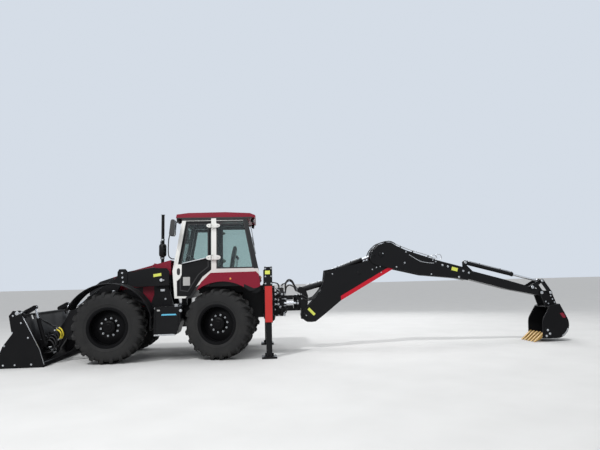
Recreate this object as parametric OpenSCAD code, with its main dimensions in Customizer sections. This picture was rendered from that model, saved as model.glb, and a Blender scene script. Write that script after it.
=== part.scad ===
// Backhoe loader with four equal wheels, a clamshell front bucket and a
// side-shifting backhoe stretched out behind. Millimetres, +Z up.
// The front points to -X and the backhoe to +X. The origin lies on the ground,
// halfway along the whole machine.

/* [Wheels and axles] */
// Distance between the axles
wheelbase = 2200; // [2000:10:2640]
// Diameter of a tyre
wheel_d = 1400; // [1240:10:1460]
// Width of a tyre
tyre_w = 440; // [360:10:460]
// Distance between the tyres' middle planes
track = 1960; // [1900:10:2100]
// Diameter of the rim where the tyre seats
rim_d = 711; // [640:1:760]
// Distance between the steering pins of one axle
kingpin_track = 1560; // [1500:10:1600]
// Angle at which the rear wheels are parked
rear_rest_steer = 15; // [0:1:16]
// Diameter of an axle tube
axle_tube_d = 180; // [140:5:220]

/* [Chassis] */
// Distance between the outer faces of the two chassis rails
rail_span = 680; // [600:10:700]
// Height of a chassis rail
rail_h = 220; // [160:5:240]
// Thickness of a chassis rail
rail_t = 60; // [40:2:70]
// Length of the engine block
engine_l = 1150; // [900:10:1160]

/* [Bonnet] */
// Width of the bonnet
bonnet_w = 690; // [600:10:700]
// Thickness of the bonnet sheet
bonnet_t = 12; // [6:1:20]
// Height of the bonnet in front of the windscreen
bonnet_h = 2030; // [1960:10:2060]

/* [Cab] */
// Width of the cab
cab_w = 1540; // [1440:10:1560]
// Height of the cab body under its roof
cab_top = 2890; // [2800:10:3000]
// Thickness of the cab walls and doors
cab_wall = 40; // [30:1:50]
// Thickness of a window pane
glass_t = 6; // [4:0.5:8]
// Thickness of the roof
roof_t = 115; // [80:5:130]
// Gap around a door
door_gap = 6; // [5:0.5:9]

/* [Loader] */
// Height of the arm pivots
arm_pivot_h = 1600; // [1560:5:1640]
// Distance of one loader arm from the middle
arm_y = 490; // [480:1:500]
// Thickness of a loader arm
arm_t = 90; // [70:2:96]
// Width of the front bucket
bucket_w = 2360; // [2200:10:2440]
// Height of the front bucket
bucket_h = 1000; // [900:10:1060]
// Thickness of the bucket plates
bucket_t = 20; // [12:1:25]
// Diameter of a lift cylinder barrel
lift_d = 88; // [76:2:90]
// Diameter of a tilt cylinder barrel
tilt_d = 64; // [56:2:66]

/* [Backhoe] */
// Distance from the boom foot pin to the dipper pin
boom_l = 2206; // [2000:1:2400]
// Width of the boom over its side plates
boom_w = 250; // [230:2:256]
// Thickness of the boom and dipper side plates
plate_t = 24; // [16:1:26]
// Length of the outer dipper box from its pivot
dipper_l = 2123; // [2000:1:2240]
// How far the telescopic stick is drawn out
stick_out = 1100; // [900:10:1150]
// Diameter of the boom cylinder barrel
boom_cyl_d = 120; // [100:2:126]
// Diameter of the dipper cylinder barrel
crowd_cyl_d = 104; // [90:2:110]
// Diameter of the bucket cylinder barrel
curl_cyl_d = 92; // [80:2:96]
// Width of the rear bucket
digger_w = 600; // [500:10:900]
// Width of one bucket tooth
tooth_w = 52; // [44:2:70]

/* [Stabilisers] */
// Distance between the two stabiliser legs
leg_span = 2200; // [2120:10:2300]
// Side of a square leg
leg_w = 116; // [100:2:120]
// Length of a foot plate
foot_l = 300; // [240:10:340]

/* [Fits] */
// Clearance of a pin in its bore, on the radius
pin_fit = 0.5; // [0.3:0.1:0.8]
// Clearance beside an eye between its cheeks
side_fit = 0.5; // [0.3:0.1:0.8]

/* [Hidden] */
$fn = 48;

// Paints
burgundy = "#6d1020";
black_paint = "#17181a";
dark_grey = "#2c2d2f";
white_paint = "#e6e6e2";
steel = "#b9bcc0";
rubber = "#1d1d1e";
glass_tint = "#6f8580";
warning_red = "#c8281a";
tooth_gold = "#c99a2e";

// Small helpers on points [x, z] in the side view
function along(p, q, s) = p + (q - p) * s / norm(q - p);
function dir_angle(p, q) = atan2(q[1] - p[1], q[0] - p[0]);
function turn(p, a) = [p[0] * cos(a) - p[1] * sin(a), p[0] * sin(a) + p[1] * cos(a)];

// Wheels
axle_z = wheel_d / 2;
front_x = -wheelbase / 2;
rear_x = wheelbase / 2;
wheel_y = track / 2;
kingpin_y = kingpin_track / 2;
tyre_reach = wheel_y + tyre_w / 2;
arch_r = wheel_d / 2 + 140;

// Chassis
rail_y = rail_span / 2 - rail_t / 2;
rail_z = axle_z + axle_tube_d / 2 + 45;
rail_top = rail_z + rail_h;
rail_front = front_x - 640;
rail_rear = rear_x + 840;

// Rear frame and stabilisers
frame_x = rear_x + 980;
frame_d = 120;
leg_x = rear_x + 930;
leg_y = leg_span / 2;
leg_wall = 18;
leg_gap = 4;
housing_w = leg_w + 2 * (leg_wall + leg_gap);
housing_z = 700;
housing_top = 1810;
low_rail_z = 720;
low_rail_h = 110;
top_rail_z = 1290;
top_rail_h = 100;

// Cab outline
cab_front = 60;
cab_rear = rear_x + 750;
waist_z = 1780;
floor_z = 1215;
deck_z = axle_z + 740;
b_post_x = rear_x - 190;
half_cab = cab_w / 2;

// Loader joints in the side view
arm_pivot = [-210, arm_pivot_h];
bucket_pin = [front_x - 1200, 270];
lift_base = [-330, 1010];
lift_eye = [front_x - 80, 1380];
tilt_base = [front_x + 110, 1760];
lever_pin = [front_x - 805, 770];
lever_top = [front_x - 930, 1060];
link_eye = bucket_pin + [-70, 200];
jaw_pin = [bucket_pin[0] - 480, bucket_h + 25];
tilt_y = arm_y - arm_t / 2 - 52;
link_y = tilt_y - 60;

// Backhoe joints in the side view
swing_x = frame_x + 550 + frame_d / 2;
boom_foot = [swing_x + 170, 760];
boom_a = 36.6;
dipper_pin = boom_foot + turn([boom_l, 0], boom_a);
boom_cyl_base = [swing_x + 85, 1310];
boom_rod_eye = boom_foot + turn([boom_l * 0.695, -18], boom_a);
crowd_base = boom_foot + turn([boom_l * 0.44, 401], boom_a);
crowd_eye = dipper_pin + [-186, -25];
dipper_a = -15.5;
stick_in = dipper_l - 323;
function on_dipper(u, v) = dipper_pin + turn([u, v], dipper_a);
digger_u = dipper_l + stick_out + 688;
digger_pin = on_dipper(digger_u, 81);
lever_u = digger_u - 242;
curl_lever_pin = on_dipper(lever_u, 150);
curl_top = on_dipper(digger_u - 56, 350);
curl_base = on_dipper(dipper_l - 93, 330);
digger_ear = on_dipper(digger_u + 190, 128);
bowl_centre = digger_pin + [188, -715];
bowl_r = 318;

// Ends of the machine, which put the origin in its middle
lip_x = bucket_pin[0] - 850;
bowl_end = bowl_centre[0] + bowl_r;
middle_x = (lip_x + bowl_end) / 2;

module placed() translate([-middle_x, 0, 0]) children();

// A plate drawn in the side view, w wide, centred on y
module side_plate(y, w) translate([0, y, 0]) rotate([90, 0, 0])
    linear_extrude(w, center = true) children();

// A round bar across the machine, centred on y
module cross_pin(p, y, d, w) translate([p[0], y, p[1]]) rotate([90, 0, 0])
    cylinder(d = d, h = w, center = true);

// A round bar from p to q in the side view
module bar(p, q, y, d) translate([p[0], y, p[1]])
    rotate([0, 90 - dir_angle(p, q), 0]) cylinder(d = d, h = norm(q - p));

module mirrored_y() {
    children();
    mirror([0, 1, 0]) children();
}

// Two discs joined by straight sides, drawn in the side view
function strap_sides(p, q, r1, r2) = let (a = dir_angle(p, q), b = acos((r1 - r2) / norm(q - p))) [
    p + turn([r1, 0], a + b), q + turn([r2, 0], a + b), q + turn([r2, 0], a - b), p + turn([r1, 0], a - b)
];
module strap(p, q, d1, d2) {
    translate(p) circle(d = d1);
    translate(q) circle(d = d2);
    polygon(strap_sides(p, q, d1 * 0.492, d2 * 0.492));
}

// Cylinder barrel from its base eye, with a blind bore for the rod
module barrel(base, eye, y, d, len, rod_d, eye_w, pin_d) difference() {
    union() {
        bar(base, along(base, eye, len), y, d);
        bar(along(base, eye, len - 40), along(base, eye, len), y, d + 10);
        cross_pin(base, y, d * 1.1, eye_w);
    }
    bar(along(base, eye, d * 0.62), along(base, eye, len + 1), y, rod_d + 2 * pin_fit);
    cross_pin(base, y, pin_d + 2 * pin_fit, eye_w + d);
    for (s = [-1, 1]) cross_pin(base, y + s * (eye_w / 2 + d / 2), d * 1.3, d);
}

// Cylinder rod with its eye, reaching back into the barrel
module rod(base, eye, y, d, back, eye_d, eye_w) {
    bar(along(eye, base, back), along(eye, base, eye_d * 0.3), y, d);
    cross_pin(eye, y, eye_d, eye_w);
}

// Chassis
cross_members = [
    // x, length, height
    [rail_front, 90, rail_h - 40], [front_x - 280, 80, 100], [front_x + 600, 80, 100],
    [-240, 120, 180], [rear_x - 380, 80, 180], [rail_rear - 80, 80, 180]
];
module chassis_frame() placed() color(black_paint) {
    mirrored_y() {
        translate([rail_front, rail_y - rail_t / 2, rail_z])
            cube([rail_rear - rail_front, rail_t, rail_h]);
        loader_tower();
    }
    for (m = cross_members) translate([m[0], -rail_y, rail_z + 20]) cube([m[1], 2 * rail_y, m[2]]);
    axle_saddle(front_x);
    axle_saddle(rear_x);
    translate([-239, -210, rail_z - 70]) cube([690, 420, rail_h + 60]);
    cab_mounts();
}

tower_y = rail_span / 2 + 30;
tower_t = arm_y - arm_t / 2 - tower_y - 8;
module loader_tower() {
    side_plate(tower_y + tower_t / 2, tower_t) polygon([
        [-460, rail_z], [20, rail_z], [20, rail_top + 40], [-110, 1560],
        [-120, arm_pivot_h + 95], [-300, arm_pivot_h + 95], [-320, 1450], [-460, 1060]
    ]);
    translate([-460, rail_y, rail_z]) cube([480, tower_y + tower_t / 2 - rail_y, rail_h]);
    tower_pin(arm_pivot, 80, arm_y + arm_t / 2 + 14);
    tower_pin(lift_base, 56, arm_y + 46);
}
module tower_pin(p, d, end) cross_pin(p, (tower_y + end) / 2, d, end - tower_y);

module axle_saddle(x) mirrored_y() difference() {
    translate([x - 150, rail_y - rail_t / 2 - 60, rail_z - 45]) cube([300, rail_t + 60, 46]);
    cross_pin([x, axle_z], 0, axle_tube_d, 2 * wheel_y);
}

module cab_mounts() for (m = [[cab_front + 140, floor_z], [rear_x - 400, deck_z]]) mirrored_y()
    translate([m[0], rail_y - 40, rail_top]) cube([100, 160, m[1] - rail_top]);

engine_z = rail_z + 120;
engine_top = 1540;
module engine_block() placed() color(dark_grey)
    translate([front_x - 300, -220, engine_z]) cube([engine_l, 440, engine_top - engine_z]);

// Axle beams with a centre housing and a fork for each knuckle
fork_gap = 250;
fork_t = 40;
module axles() placed() color(black_paint) {
    axle_beam(front_x, 1, 0);
    axle_beam(rear_x, -1, 1);
}
module axle_beam(x, side, flip) translate([x, 0, axle_z]) difference() {
    union() {
        rotate([90, 0, 0]) cylinder(d = axle_tube_d, h = 2 * (kingpin_y - 120), center = true);
        translate([0, 0, 0]) rotate([90, 0, 0]) cylinder(d = 330, h = 260, center = true);
        rotate([0, 90 * side, 0]) cylinder(d1 = 240, d2 = 130, h = 320);
        mirrored_y() for (s = [-1, 1]) {
            translate([0, kingpin_y, s * (fork_gap + fork_t) / 2])
                cylinder(d = 150, h = fork_t, center = true);
            translate([-60, kingpin_y - 190, s * (fork_gap + fork_t) / 2 - fork_t / 2])
                cube([120, 190, fork_t]);
        }
        mirrored_y() translate([-75, kingpin_y - 190, -(fork_gap / 2 + fork_t)])
            cube([150, 70, fork_gap + 2 * fork_t]);
    }
    mirrored_y() translate([0, kingpin_y, 0])
        cylinder(d = 64 + 2 * pin_fit, h = 600, center = true);
}

// Knuckle: housing on the steering pin, arm, and a spindle for the hub
spindle_d = 120;
spindle_end = wheel_y - kingpin_y + 20;
module knuckle(x, side, a) translate([x, side * kingpin_y, axle_z]) rotate([0, 0, a]) {
    cylinder(d = 130, h = fork_gap - 3, center = true);
    cylinder(d = 64, h = fork_gap + 2 * fork_t + 16, center = true);
    for (s = [-1, 1]) translate([0, 0, s * (fork_gap / 2 + fork_t + 6)])
        cylinder(d = 100, h = 8, center = true);
    rotate([-90 * side, 0, 0]) cylinder(d = 210, h = 90);
    rotate([-90 * side, 0, 0]) cylinder(d = spindle_d, h = spindle_end);
    translate([0, -side * 30, 0]) rotate([0, 0, 0]) translate([-200, -25, -40]) cube([200, 50, 40]);
}
module knuckle_front_left() placed() color(dark_grey) knuckle(front_x, -1, 0);
module knuckle_front_right() placed() color(dark_grey) knuckle(front_x, 1, 0);
module knuckle_rear_left() placed() color(dark_grey) knuckle(rear_x, -1, -rear_rest_steer);
module knuckle_rear_right() placed() color(dark_grey) knuckle(rear_x, 1, -rear_rest_steer);

// Rim and tyre turn about a line across the machine through the hub
module on_hub(x, side, a) translate([x, side * kingpin_y, axle_z]) rotate([0, 0, a])
    translate([0, side * (wheel_y - kingpin_y), 0]) rotate([-90 * side, 0, 0]) children();
rim_w = tyre_w - 40;
rim_r = rim_d / 2;
rim_t = 14;
disc_z = 45;
module rim() rotate_extrude($fn = 64) polygon([
    [spindle_d / 2 + pin_fit, -60], [165, -60], [165, disc_z - 20], [rim_r - rim_t, disc_z - 50],
    [rim_r - rim_t, -rim_w / 2], [rim_r + 26, -rim_w / 2], [rim_r + 26, -rim_w / 2 + rim_t],
    [rim_r - 0.5, -rim_w / 2 + rim_t], [rim_r - 0.5, rim_w / 2 - rim_t],
    [rim_r + 26, rim_w / 2 - rim_t], [rim_r + 26, rim_w / 2], [rim_r - rim_t, rim_w / 2],
    [rim_r - rim_t, disc_z - 30], [215, disc_z], [130, disc_z], [125, disc_z + 70],
    [95, disc_z + 85], [0, disc_z + 85], [0, 24], [spindle_d / 2 + pin_fit, 24]
]);
module tyre() rotate_extrude($fn = 72) polygon([
    [rim_r, -rim_w / 2 + rim_t + 1], [rim_r + 27, -rim_w / 2 + rim_t + 1],
    [rim_r + 27, -rim_w / 2 + 2], [rim_r + 60, -tyre_w / 2 + 12], [rim_r + 170, -tyre_w / 2],
    [wheel_d / 2 - 60, -tyre_w / 2 + 4], [wheel_d / 2 - 12, -tyre_w / 2 + 30],
    [wheel_d / 2, -tyre_w / 2 + 90], [wheel_d / 2, tyre_w / 2 - 90],
    [wheel_d / 2 - 12, tyre_w / 2 - 30], [wheel_d / 2 - 60, tyre_w / 2 - 4],
    [rim_r + 170, tyre_w / 2], [rim_r + 60, tyre_w / 2 - 12], [rim_r + 27, rim_w / 2 - 2],
    [rim_r + 27, rim_w / 2 - rim_t - 1], [rim_r, rim_w / 2 - rim_t - 1]
]);
module rim_front_left() placed() color(black_paint) on_hub(front_x, -1, 0) rim();
module rim_front_right() placed() color(black_paint) on_hub(front_x, 1, 0) rim();
module rim_rear_left() placed() color(black_paint) on_hub(rear_x, -1, -rear_rest_steer) rim();
module rim_rear_right() placed() color(black_paint) on_hub(rear_x, 1, -rear_rest_steer) rim();
module tyre_front_left() placed() color(rubber) on_hub(front_x, -1, 0) tyre();
module tyre_front_right() placed() color(rubber) on_hub(front_x, 1, 0) tyre();
module tyre_rear_left() placed() color(rubber) on_hub(rear_x, -1, -rear_rest_steer) tyre();
module tyre_rear_right() placed() color(rubber) on_hub(rear_x, 1, -rear_rest_steer) tyre();

// Bonnet: a fixed cowl in front of the cab and a lid that hinges on it
lid_base = 1560;
nose_x = front_x - 630;
exhaust_x = front_x - 300 + engine_l - 60;
cowl_x = exhaust_x - 90;
bonnet_rear = cab_front - 110;
function bonnet_top(x) = bonnet_h - (bonnet_rear - x) * (bonnet_h - 1830) / (bonnet_rear - front_x - 300);
function lid_low(x) = lid_base - (cab_front - x) * 180 / (cab_front - front_x + 200);
module bonnet_side(z0, t) polygon([
    [bonnet_rear + 1, z0], [bonnet_rear + 1, bonnet_top(bonnet_rear) - t],
    [front_x + 300, 1830 - t], [front_x - 420, 1600 - t], [nose_x + t, 1430 - t], [nose_x + t, z0]
]);
module bonnet_shell() difference() {
    side_plate(0, bonnet_w) bonnet_side(1200, 0);
    side_plate(0, bonnet_w - 2 * bonnet_t) bonnet_side(1100, bonnet_t);
}
bonnet_hinge = [cowl_x - 6, bonnet_top(cowl_x) + 18];
module bonnet() placed() color(burgundy) {
    difference() {
        bonnet_shell();
        side_plate(0, bonnet_w + 2) polygon([
            [cab_front, 1100], [cab_front, 2200], [cowl_x - 5, 2200], [cowl_x - 5, lid_low(cowl_x)],
            [front_x - 200, lid_low(front_x - 200)], [front_x - 200, 1320], [nose_x - 60, 1320],
            [nose_x - 60, 1100]
        ]);
    }
    for (s = [-1, 1]) difference() {
        union() {
            cross_pin(bonnet_hinge, s * 240, 28, 80);
            translate([bonnet_hinge[0] - 40, s * 240 - 40, bonnet_hinge[1] - 34]) cube([34, 80, 24]);
        }
        cross_pin(bonnet_hinge, s * 240, 14 + 2 * pin_fit, 100);
    }
}
module engine_panels() placed() color(burgundy) {
    difference() {
        bonnet_shell();
        side_plate(0, bonnet_w + 2) polygon([
            [cowl_x, 1100], [cowl_x, 2200], [nose_x - 60, 2200], [nose_x - 60, 1100]
        ]);
        translate([exhaust_x, exhaust_y, 1700]) cylinder(d = exhaust_d + 10, h = 500);
    }
    mirrored_y() side_plate(bonnet_w / 2 - bonnet_t / 2, bonnet_t) polygon([
        [bonnet_rear + 1, rail_top], [bonnet_rear + 1, 1202], [cowl_x, 1202],
        [cowl_x, lid_low(cowl_x) - 6], [front_x - 194, lid_low(front_x - 194) - 6],
        [front_x - 194, 1314], [nose_x, 1314], [nose_x, rail_top]
    ]);
    side_plate(0, bonnet_w - 2) polygon([
        [nose_x, rail_top], [nose_x, 1314], [nose_x + 40, 1314], [nose_x + 40, rail_top]
    ]);
    for (s = [-1, 1]) {
        for (t = [-1, 1]) side_plate(s * (240 + t * 49), 16) polygon([
            [cowl_x + 1, bonnet_top(cowl_x) - 8], [cowl_x + 60, bonnet_top(cowl_x + 60) - 8],
            [cowl_x + 60, bonnet_top(cowl_x + 60) + 2], bonnet_hinge + [0, 14], bonnet_hinge - [14, 0],
            bonnet_hinge - [0, 8]
        ]);
        cross_pin(bonnet_hinge, s * 240, 14, 110);
    }
}

// Cab body: a closed side outline, hollowed and pierced
function cab_outline(t) = [
    [cab_front + t, waist_z], [cab_front + 45 + t, floor_z + t], [rear_x - 640, floor_z + t],
    [rear_x - 500 + t / 3, deck_z + t], [cab_rear - t, deck_z + t], [cab_rear - t, 1700],
    [cab_rear - 250 - t, cab_top - t], [cab_front + 202 + t, cab_top - t]
];
function front_at(z) = cab_front + 202 * max(0, z - waist_z) / (cab_top - waist_z);
function rear_at(z) = cab_rear - 250 * max(0, z - 1700) / (cab_top - 1700);
door_outline = [
    [cab_front + 85, waist_z], [cab_front + 95, 1260], [rear_x - 680, 1250], [rear_x - 570, 1430],
    [rear_x - 430, 1640], [b_post_x - 55, 1790], [b_post_x - 55, cab_top - 70],
    [cab_front + 272, cab_top - 70]
];
door_window = [
    [cab_front + 145, waist_z + 40], [cab_front + 150, 1370], [rear_x - 720, 1340],
    [rear_x - 500, 1690], [b_post_x - 110, 1850], [b_post_x - 110, cab_top - 130],
    [cab_front + 310, cab_top - 130]
];
side_window = [
    [b_post_x + 50, 1810], [rear_at(1810) - 90, 1810], [rear_at(cab_top - 70) - 80, cab_top - 70],
    [b_post_x + 50, cab_top - 70]
];
module cab_frame() placed() color(white_paint) {
    cab_shell();
    door_lugs();
}
module cab_shell() difference() {
    side_plate(0, cab_w) polygon(cab_outline(0));
    side_plate(0, cab_w - 2 * cab_wall) polygon(cab_outline(cab_wall));
    for (s = [-1, 1]) side_plate(s * half_cab, 3 * cab_wall) polygon(door_outline);
    for (s = [-1, 1]) side_plate(s * half_cab, 3 * cab_wall) polygon(side_window);
    side_plate(0, cab_w - 160) polygon([
        [cab_front - 60, 1850], [cab_front + 160, 1850], [cab_front + 330, cab_top - 75],
        [cab_front + 100, cab_top - 75]
    ]);
    side_plate(0, cab_w - 180) polygon([
        [cab_rear + 60, 1790], [cab_rear - 200, 1790], [cab_rear - 400, cab_top - 75],
        [cab_rear - 100, cab_top - 75]
    ]);
    side_plate(0, cab_w - 500) polygon([
        [cab_front + 300, cab_top + 20], [cab_rear - 300, cab_top + 20],
        [cab_rear - 300, cab_top - 80], [cab_front + 300, cab_top - 80]
    ]);
}

// Fixed panes stand in their openings, one per opening
module slanted_pane(p, q, w) side_plate(0, w) polygon([p, p + [glass_t, 0], q + [glass_t, 0], q]);
module cab_glass() placed() color(glass_tint) {
    for (s = [-1, 1]) side_plate(s * (half_cab - 18), glass_t) polygon(side_window);
    slanted_pane([front_at(1850) + 16, 1850], [front_at(cab_top - 75) + 16, cab_top - 75], cab_w - 160);
    slanted_pane([rear_at(1790) - 22, 1790], [rear_at(cab_top - 75) - 22, cab_top - 75], cab_w - 180);
}

module roof() placed() color(burgundy) side_plate(0, cab_w - 40) polygon([
    [cab_front + 60, cab_top], [cab_front + 75, cab_top + 75], [cab_front + 320, cab_top + roof_t - 10],
    [cab_rear - 700, cab_top + roof_t], [cab_rear - 180, cab_top + roof_t - 25],
    [cab_rear - 70, cab_top + 45], [cab_rear - 60, cab_top]
]);

// Doors hinge on the post behind them and open from the front
door_hinge = [b_post_x - 30, half_cab + 22];
hinge_zs = [2060, 2700];
module door_lugs() mirrored_y() for (z = hinge_zs) translate([door_hinge[0], door_hinge[1], z]) {
    cylinder(d = 14, h = 100, center = true);
    for (s = [-1, 1]) translate([-16, -23, s * 43 - 7]) cube([32, 38, 14]);
}
module door(side) placed() mirror([0, side > 0 ? 0 : 1, 0]) difference() {
    union() {
        side_plate(half_cab - cab_wall / 2, cab_wall - 1) offset(delta = -door_gap) polygon(door_outline);
        for (z = hinge_zs) {
            translate([door_hinge[0], door_hinge[1], z]) cylinder(d = 30, h = 70, center = true);
            translate([door_hinge[0] - 80, half_cab + 1.5, z - 35]) cube([80, 18, 70]);
            translate([door_hinge[0] - 80, half_cab - 1, z - 35]) cube([45, 5, 70]);
        }
    }
    side_plate(half_cab, 3 * cab_wall) polygon(door_window);
    for (z = hinge_zs) translate([door_hinge[0], door_hinge[1], z])
        cylinder(d = 14 + 2 * pin_fit, h = 90, center = true);
}
module door_left() color(black_paint) door(-1);
module door_right() color(black_paint) door(1);
module door_pane(side) placed() side_plate(side * (half_cab - cab_wall / 2), glass_t)
    polygon(door_window);
module door_glass_left() color(glass_tint) door_pane(-1);
module door_glass_right() color(glass_tint) door_pane(1);

// Seat and controls stand on the cab deck
seat_x = rear_x - 120;
module seat() placed() color(dark_grey) {
    translate([seat_x - 170, -200, deck_z + cab_wall]) cube([340, 400, 180]);
    translate([seat_x - 260, -250, deck_z + cab_wall + 180]) cube([500, 500, 110]);
    side_plate(0, 480) polygon([
        [seat_x + 180, deck_z + cab_wall + 288], [seat_x + 300, deck_z + cab_wall + 288],
        [seat_x + 400, deck_z + cab_wall + 860], [seat_x + 310, deck_z + cab_wall + 860]
    ]);
}
module console() placed() color(dark_grey) {
    side_plate(0, 300) polygon([
        [cab_front + 120, floor_z + cab_wall], [cab_front + 330, floor_z + cab_wall],
        [cab_front + 260, 1900], [cab_front + 130, 1900]
    ]);
    bar([cab_front + 200, 1880], [cab_front + 330, 2060], 0, 50);
    translate([cab_front + 330, 0, 2060]) rotate([0, 90 - dir_angle([0, 0], [130, 180]), 0])
        rotate_extrude() translate([170, 0]) circle(d = 28);
    translate([cab_front + 330, 0, 2060]) rotate([0, 90 - dir_angle([0, 0], [130, 180]), 0])
        union() {
            cylinder(d = 96, h = 22, center = true);
            for (a = [0, 90]) rotate([0, 0, a]) cube([340, 30, 10], center = true);
        }
}

// Fenders
module rear_fenders() placed() color(burgundy) mirrored_y() difference() {
    side_plate((half_cab + tyre_reach) / 2, tyre_reach - half_cab) polygon([
        [rear_x - 525, axle_z + 630], [rear_x - 400, axle_z + 840], [rear_x - 220, axle_z + 1015],
        [rear_x + 685, axle_z + 1025], [rear_x + 745, axle_z + 960], [rear_x + 772, axle_z + 740],
        [rear_x + 640, axle_z + 640]
    ]);
    arch_cut(rear_x, arch_r, 2 * tyre_reach);
    side_plate((half_cab + tyre_reach) / 2 - 1, tyre_reach - half_cab - 60) polygon([
        [rear_x - 380, axle_z + 700], [rear_x - 200, axle_z + 975], [rear_x + 660, axle_z + 985],
        [rear_x + 720, axle_z + 600], [rear_x - 380, axle_z + 600]
    ]);
}
module arch_cut(x, r, w) translate([x, wheel_y, axle_z]) rotate([90, 0, 0])
    cylinder(r = r, h = w, center = true, $fn = 160);
fender_t = 12;
tank_front = front_x + 860;
module front_fenders() placed() color(black_paint) mirrored_y() {
    difference() {
        arch_cut(front_x, arch_r + fender_t, tyre_w);
        arch_cut(front_x, arch_r, tyre_w + 2);
        side_plate(wheel_y, tyre_w + 4) polygon([
            [front_x, axle_z], [front_x - 1200, axle_z + 550], [front_x - 1200, axle_z - 1200],
            [front_x + 1200, axle_z - 1200], [front_x + 1200, axle_z + 220]
        ]);
    }
    translate([tank_front - 45, wheel_y - 200, axle_z + 170]) cube([45, 280, 24]);
}

// Side tank with a step on the left, battery box on the right
tank_rear = rear_x - 820;
tank_in = rail_span / 2 + 230;
tank_out = tyre_reach - 100;
module side_tanks() placed() color(black_paint) mirrored_y() {
    side_plate((tank_in + tank_out) / 2, tank_out - tank_in) polygon([
        [tank_front, 530], [tank_rear - 70, 530], [tank_rear, 760], [tank_rear, 905],
        [tank_rear - 30, 1060], [tank_front + 25, 1060], [tank_front, 905]
    ]);
    translate([60, rail_span / 2, rail_z + 30]) cube([140, tank_in - rail_span / 2 + 1, 100]);
    translate([tank_front + 15, tank_out - 220, 507]) cube([400, 250, 24]);
}

// Exhaust
exhaust_y = 90;
exhaust_d = 70;
module exhaust_stack() placed() color(black_paint) translate([exhaust_x, exhaust_y, 0]) {
    translate([0, 0, engine_top]) cylinder(d = exhaust_d, h = 1540);
    translate([0, 0, engine_top]) cylinder(d = 110, h = 160);
}

// Rear frame with the housings of the stabilisers
module rear_frame() placed() color(black_paint) {
    for (r = [[low_rail_z, low_rail_h], [top_rail_z, top_rail_h]])
        translate([frame_x - frame_d / 2, -leg_y + housing_w / 2 - 1, r[0]])
            cube([frame_d, 2 * leg_y - housing_w + 2, r[1]]);
    mirrored_y() difference() {
        translate([leg_x - housing_w / 2, leg_y - housing_w / 2, housing_z])
            cube([housing_w, housing_w, housing_top - housing_z]);
        translate([leg_x - leg_w / 2 - leg_gap, leg_y - leg_w / 2 - leg_gap, housing_z - 1])
            cube([leg_w + 2 * leg_gap, leg_w + 2 * leg_gap, housing_top - housing_z - 15]);
    }
    for (r = [[low_rail_z, low_rail_h], [top_rail_z, 60]])
        translate([rail_rear, -rail_y - rail_t / 2, r[0]])
            cube([frame_x - frame_d / 2 - rail_rear + 1, 2 * rail_y + rail_t, r[1]]);
    mirrored_y() translate([rail_rear, rail_y - rail_t / 2, low_rail_z])
        cube([25, rail_t, top_rail_z - low_rail_z + 1]);
}
leg_top = 1240;
foot_t = 40;
module stabiliser(side) placed() color(black_paint) translate([leg_x, side * leg_y, 0]) {
    translate([-leg_w / 2, -leg_w / 2, foot_t - 1]) cube([leg_w, leg_w, leg_top - foot_t]);
    translate([-foot_l / 2, -130, 0]) cube([foot_l, 260, foot_t]);
    translate([-leg_w / 2 - 30, -12, foot_t - 1]) cube([leg_w + 60, 24, 60]);
    for (s = [-1, 1]) translate([s * (leg_w / 2 + leg_gap / 2 - 0.7), 0, housing_z + 60])
        cube([leg_gap + 0.6, leg_w - 20, 80], center = true);
}
module stabiliser_left() stabiliser(-1);
module stabiliser_right() stabiliser(1);

// Loader arms joined by a cross tube
cross_tube = [bucket_pin[0] + 258, bucket_pin[1] + 228];
module arm_side() difference() {
    union() {
        polygon([
            [-60, 1490], [-60, 1790], [-110, 1850], [-370, 1862], [front_x + 200, 1778],
            [front_x + 20, 1712], [front_x - 860, 1005], [front_x - 930, 900],
            [bucket_pin[0] - 85, bucket_pin[1] + 10], [bucket_pin[0] + 82, bucket_pin[1] + 10],
            [front_x - 730, 880], [front_x - 230, 1330], [front_x + 100, 1520], [front_x + 400, 1470]
        ]);
        translate(bucket_pin) circle(d = 170);
        strap(lift_eye, lift_eye + [40, 140], 130, 180);
        strap(tilt_base, tilt_base - [0, 160], 120, 220);
        strap(lever_pin, lever_pin + [-80, 10], 110, 150);
    }
    translate(arm_pivot) circle(d = 80 + 2 * pin_fit);
    translate(bucket_pin) circle(d = 60 + 2 * pin_fit);
}
module loader_arms() placed() color(black_paint) {
    mirrored_y() difference() {
        union() {
            side_plate(arm_y, arm_t) arm_side();
            cross_pin(tilt_base, arm_y - arm_t / 2 - 45, 44, 92);
            cross_pin(lever_pin, arm_y - arm_t / 2 - 45, 60, 92);
        }
        cross_pin(lift_eye, arm_y, 280, lift_d * 0.6 + 2 * side_fit);
        cross_pin(bucket_pin, arm_y, 60 + 2 * pin_fit, 200);
    }
    cross_pin(cross_tube, 0, 90, 2 * arm_y);
    mirrored_y() side_plate(arm_y, arm_t - 20) strap(cross_tube, cross_tube + [-20, 90], 130, 130);
}

// Lift cylinders, one per arm
lift_len = norm(lift_eye - lift_base);
lift_barrel_l = lift_len - 130;
module lift_barrels() placed() color(black_paint) mirrored_y()
    barrel(lift_base, lift_eye, arm_y, lift_d, lift_barrel_l, 50, 70, 56);
module lift_rods() placed() color(steel) mirrored_y()
    rod(lift_base, lift_eye, arm_y, 50, lift_len - 100, 84, lift_d * 0.6);

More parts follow.
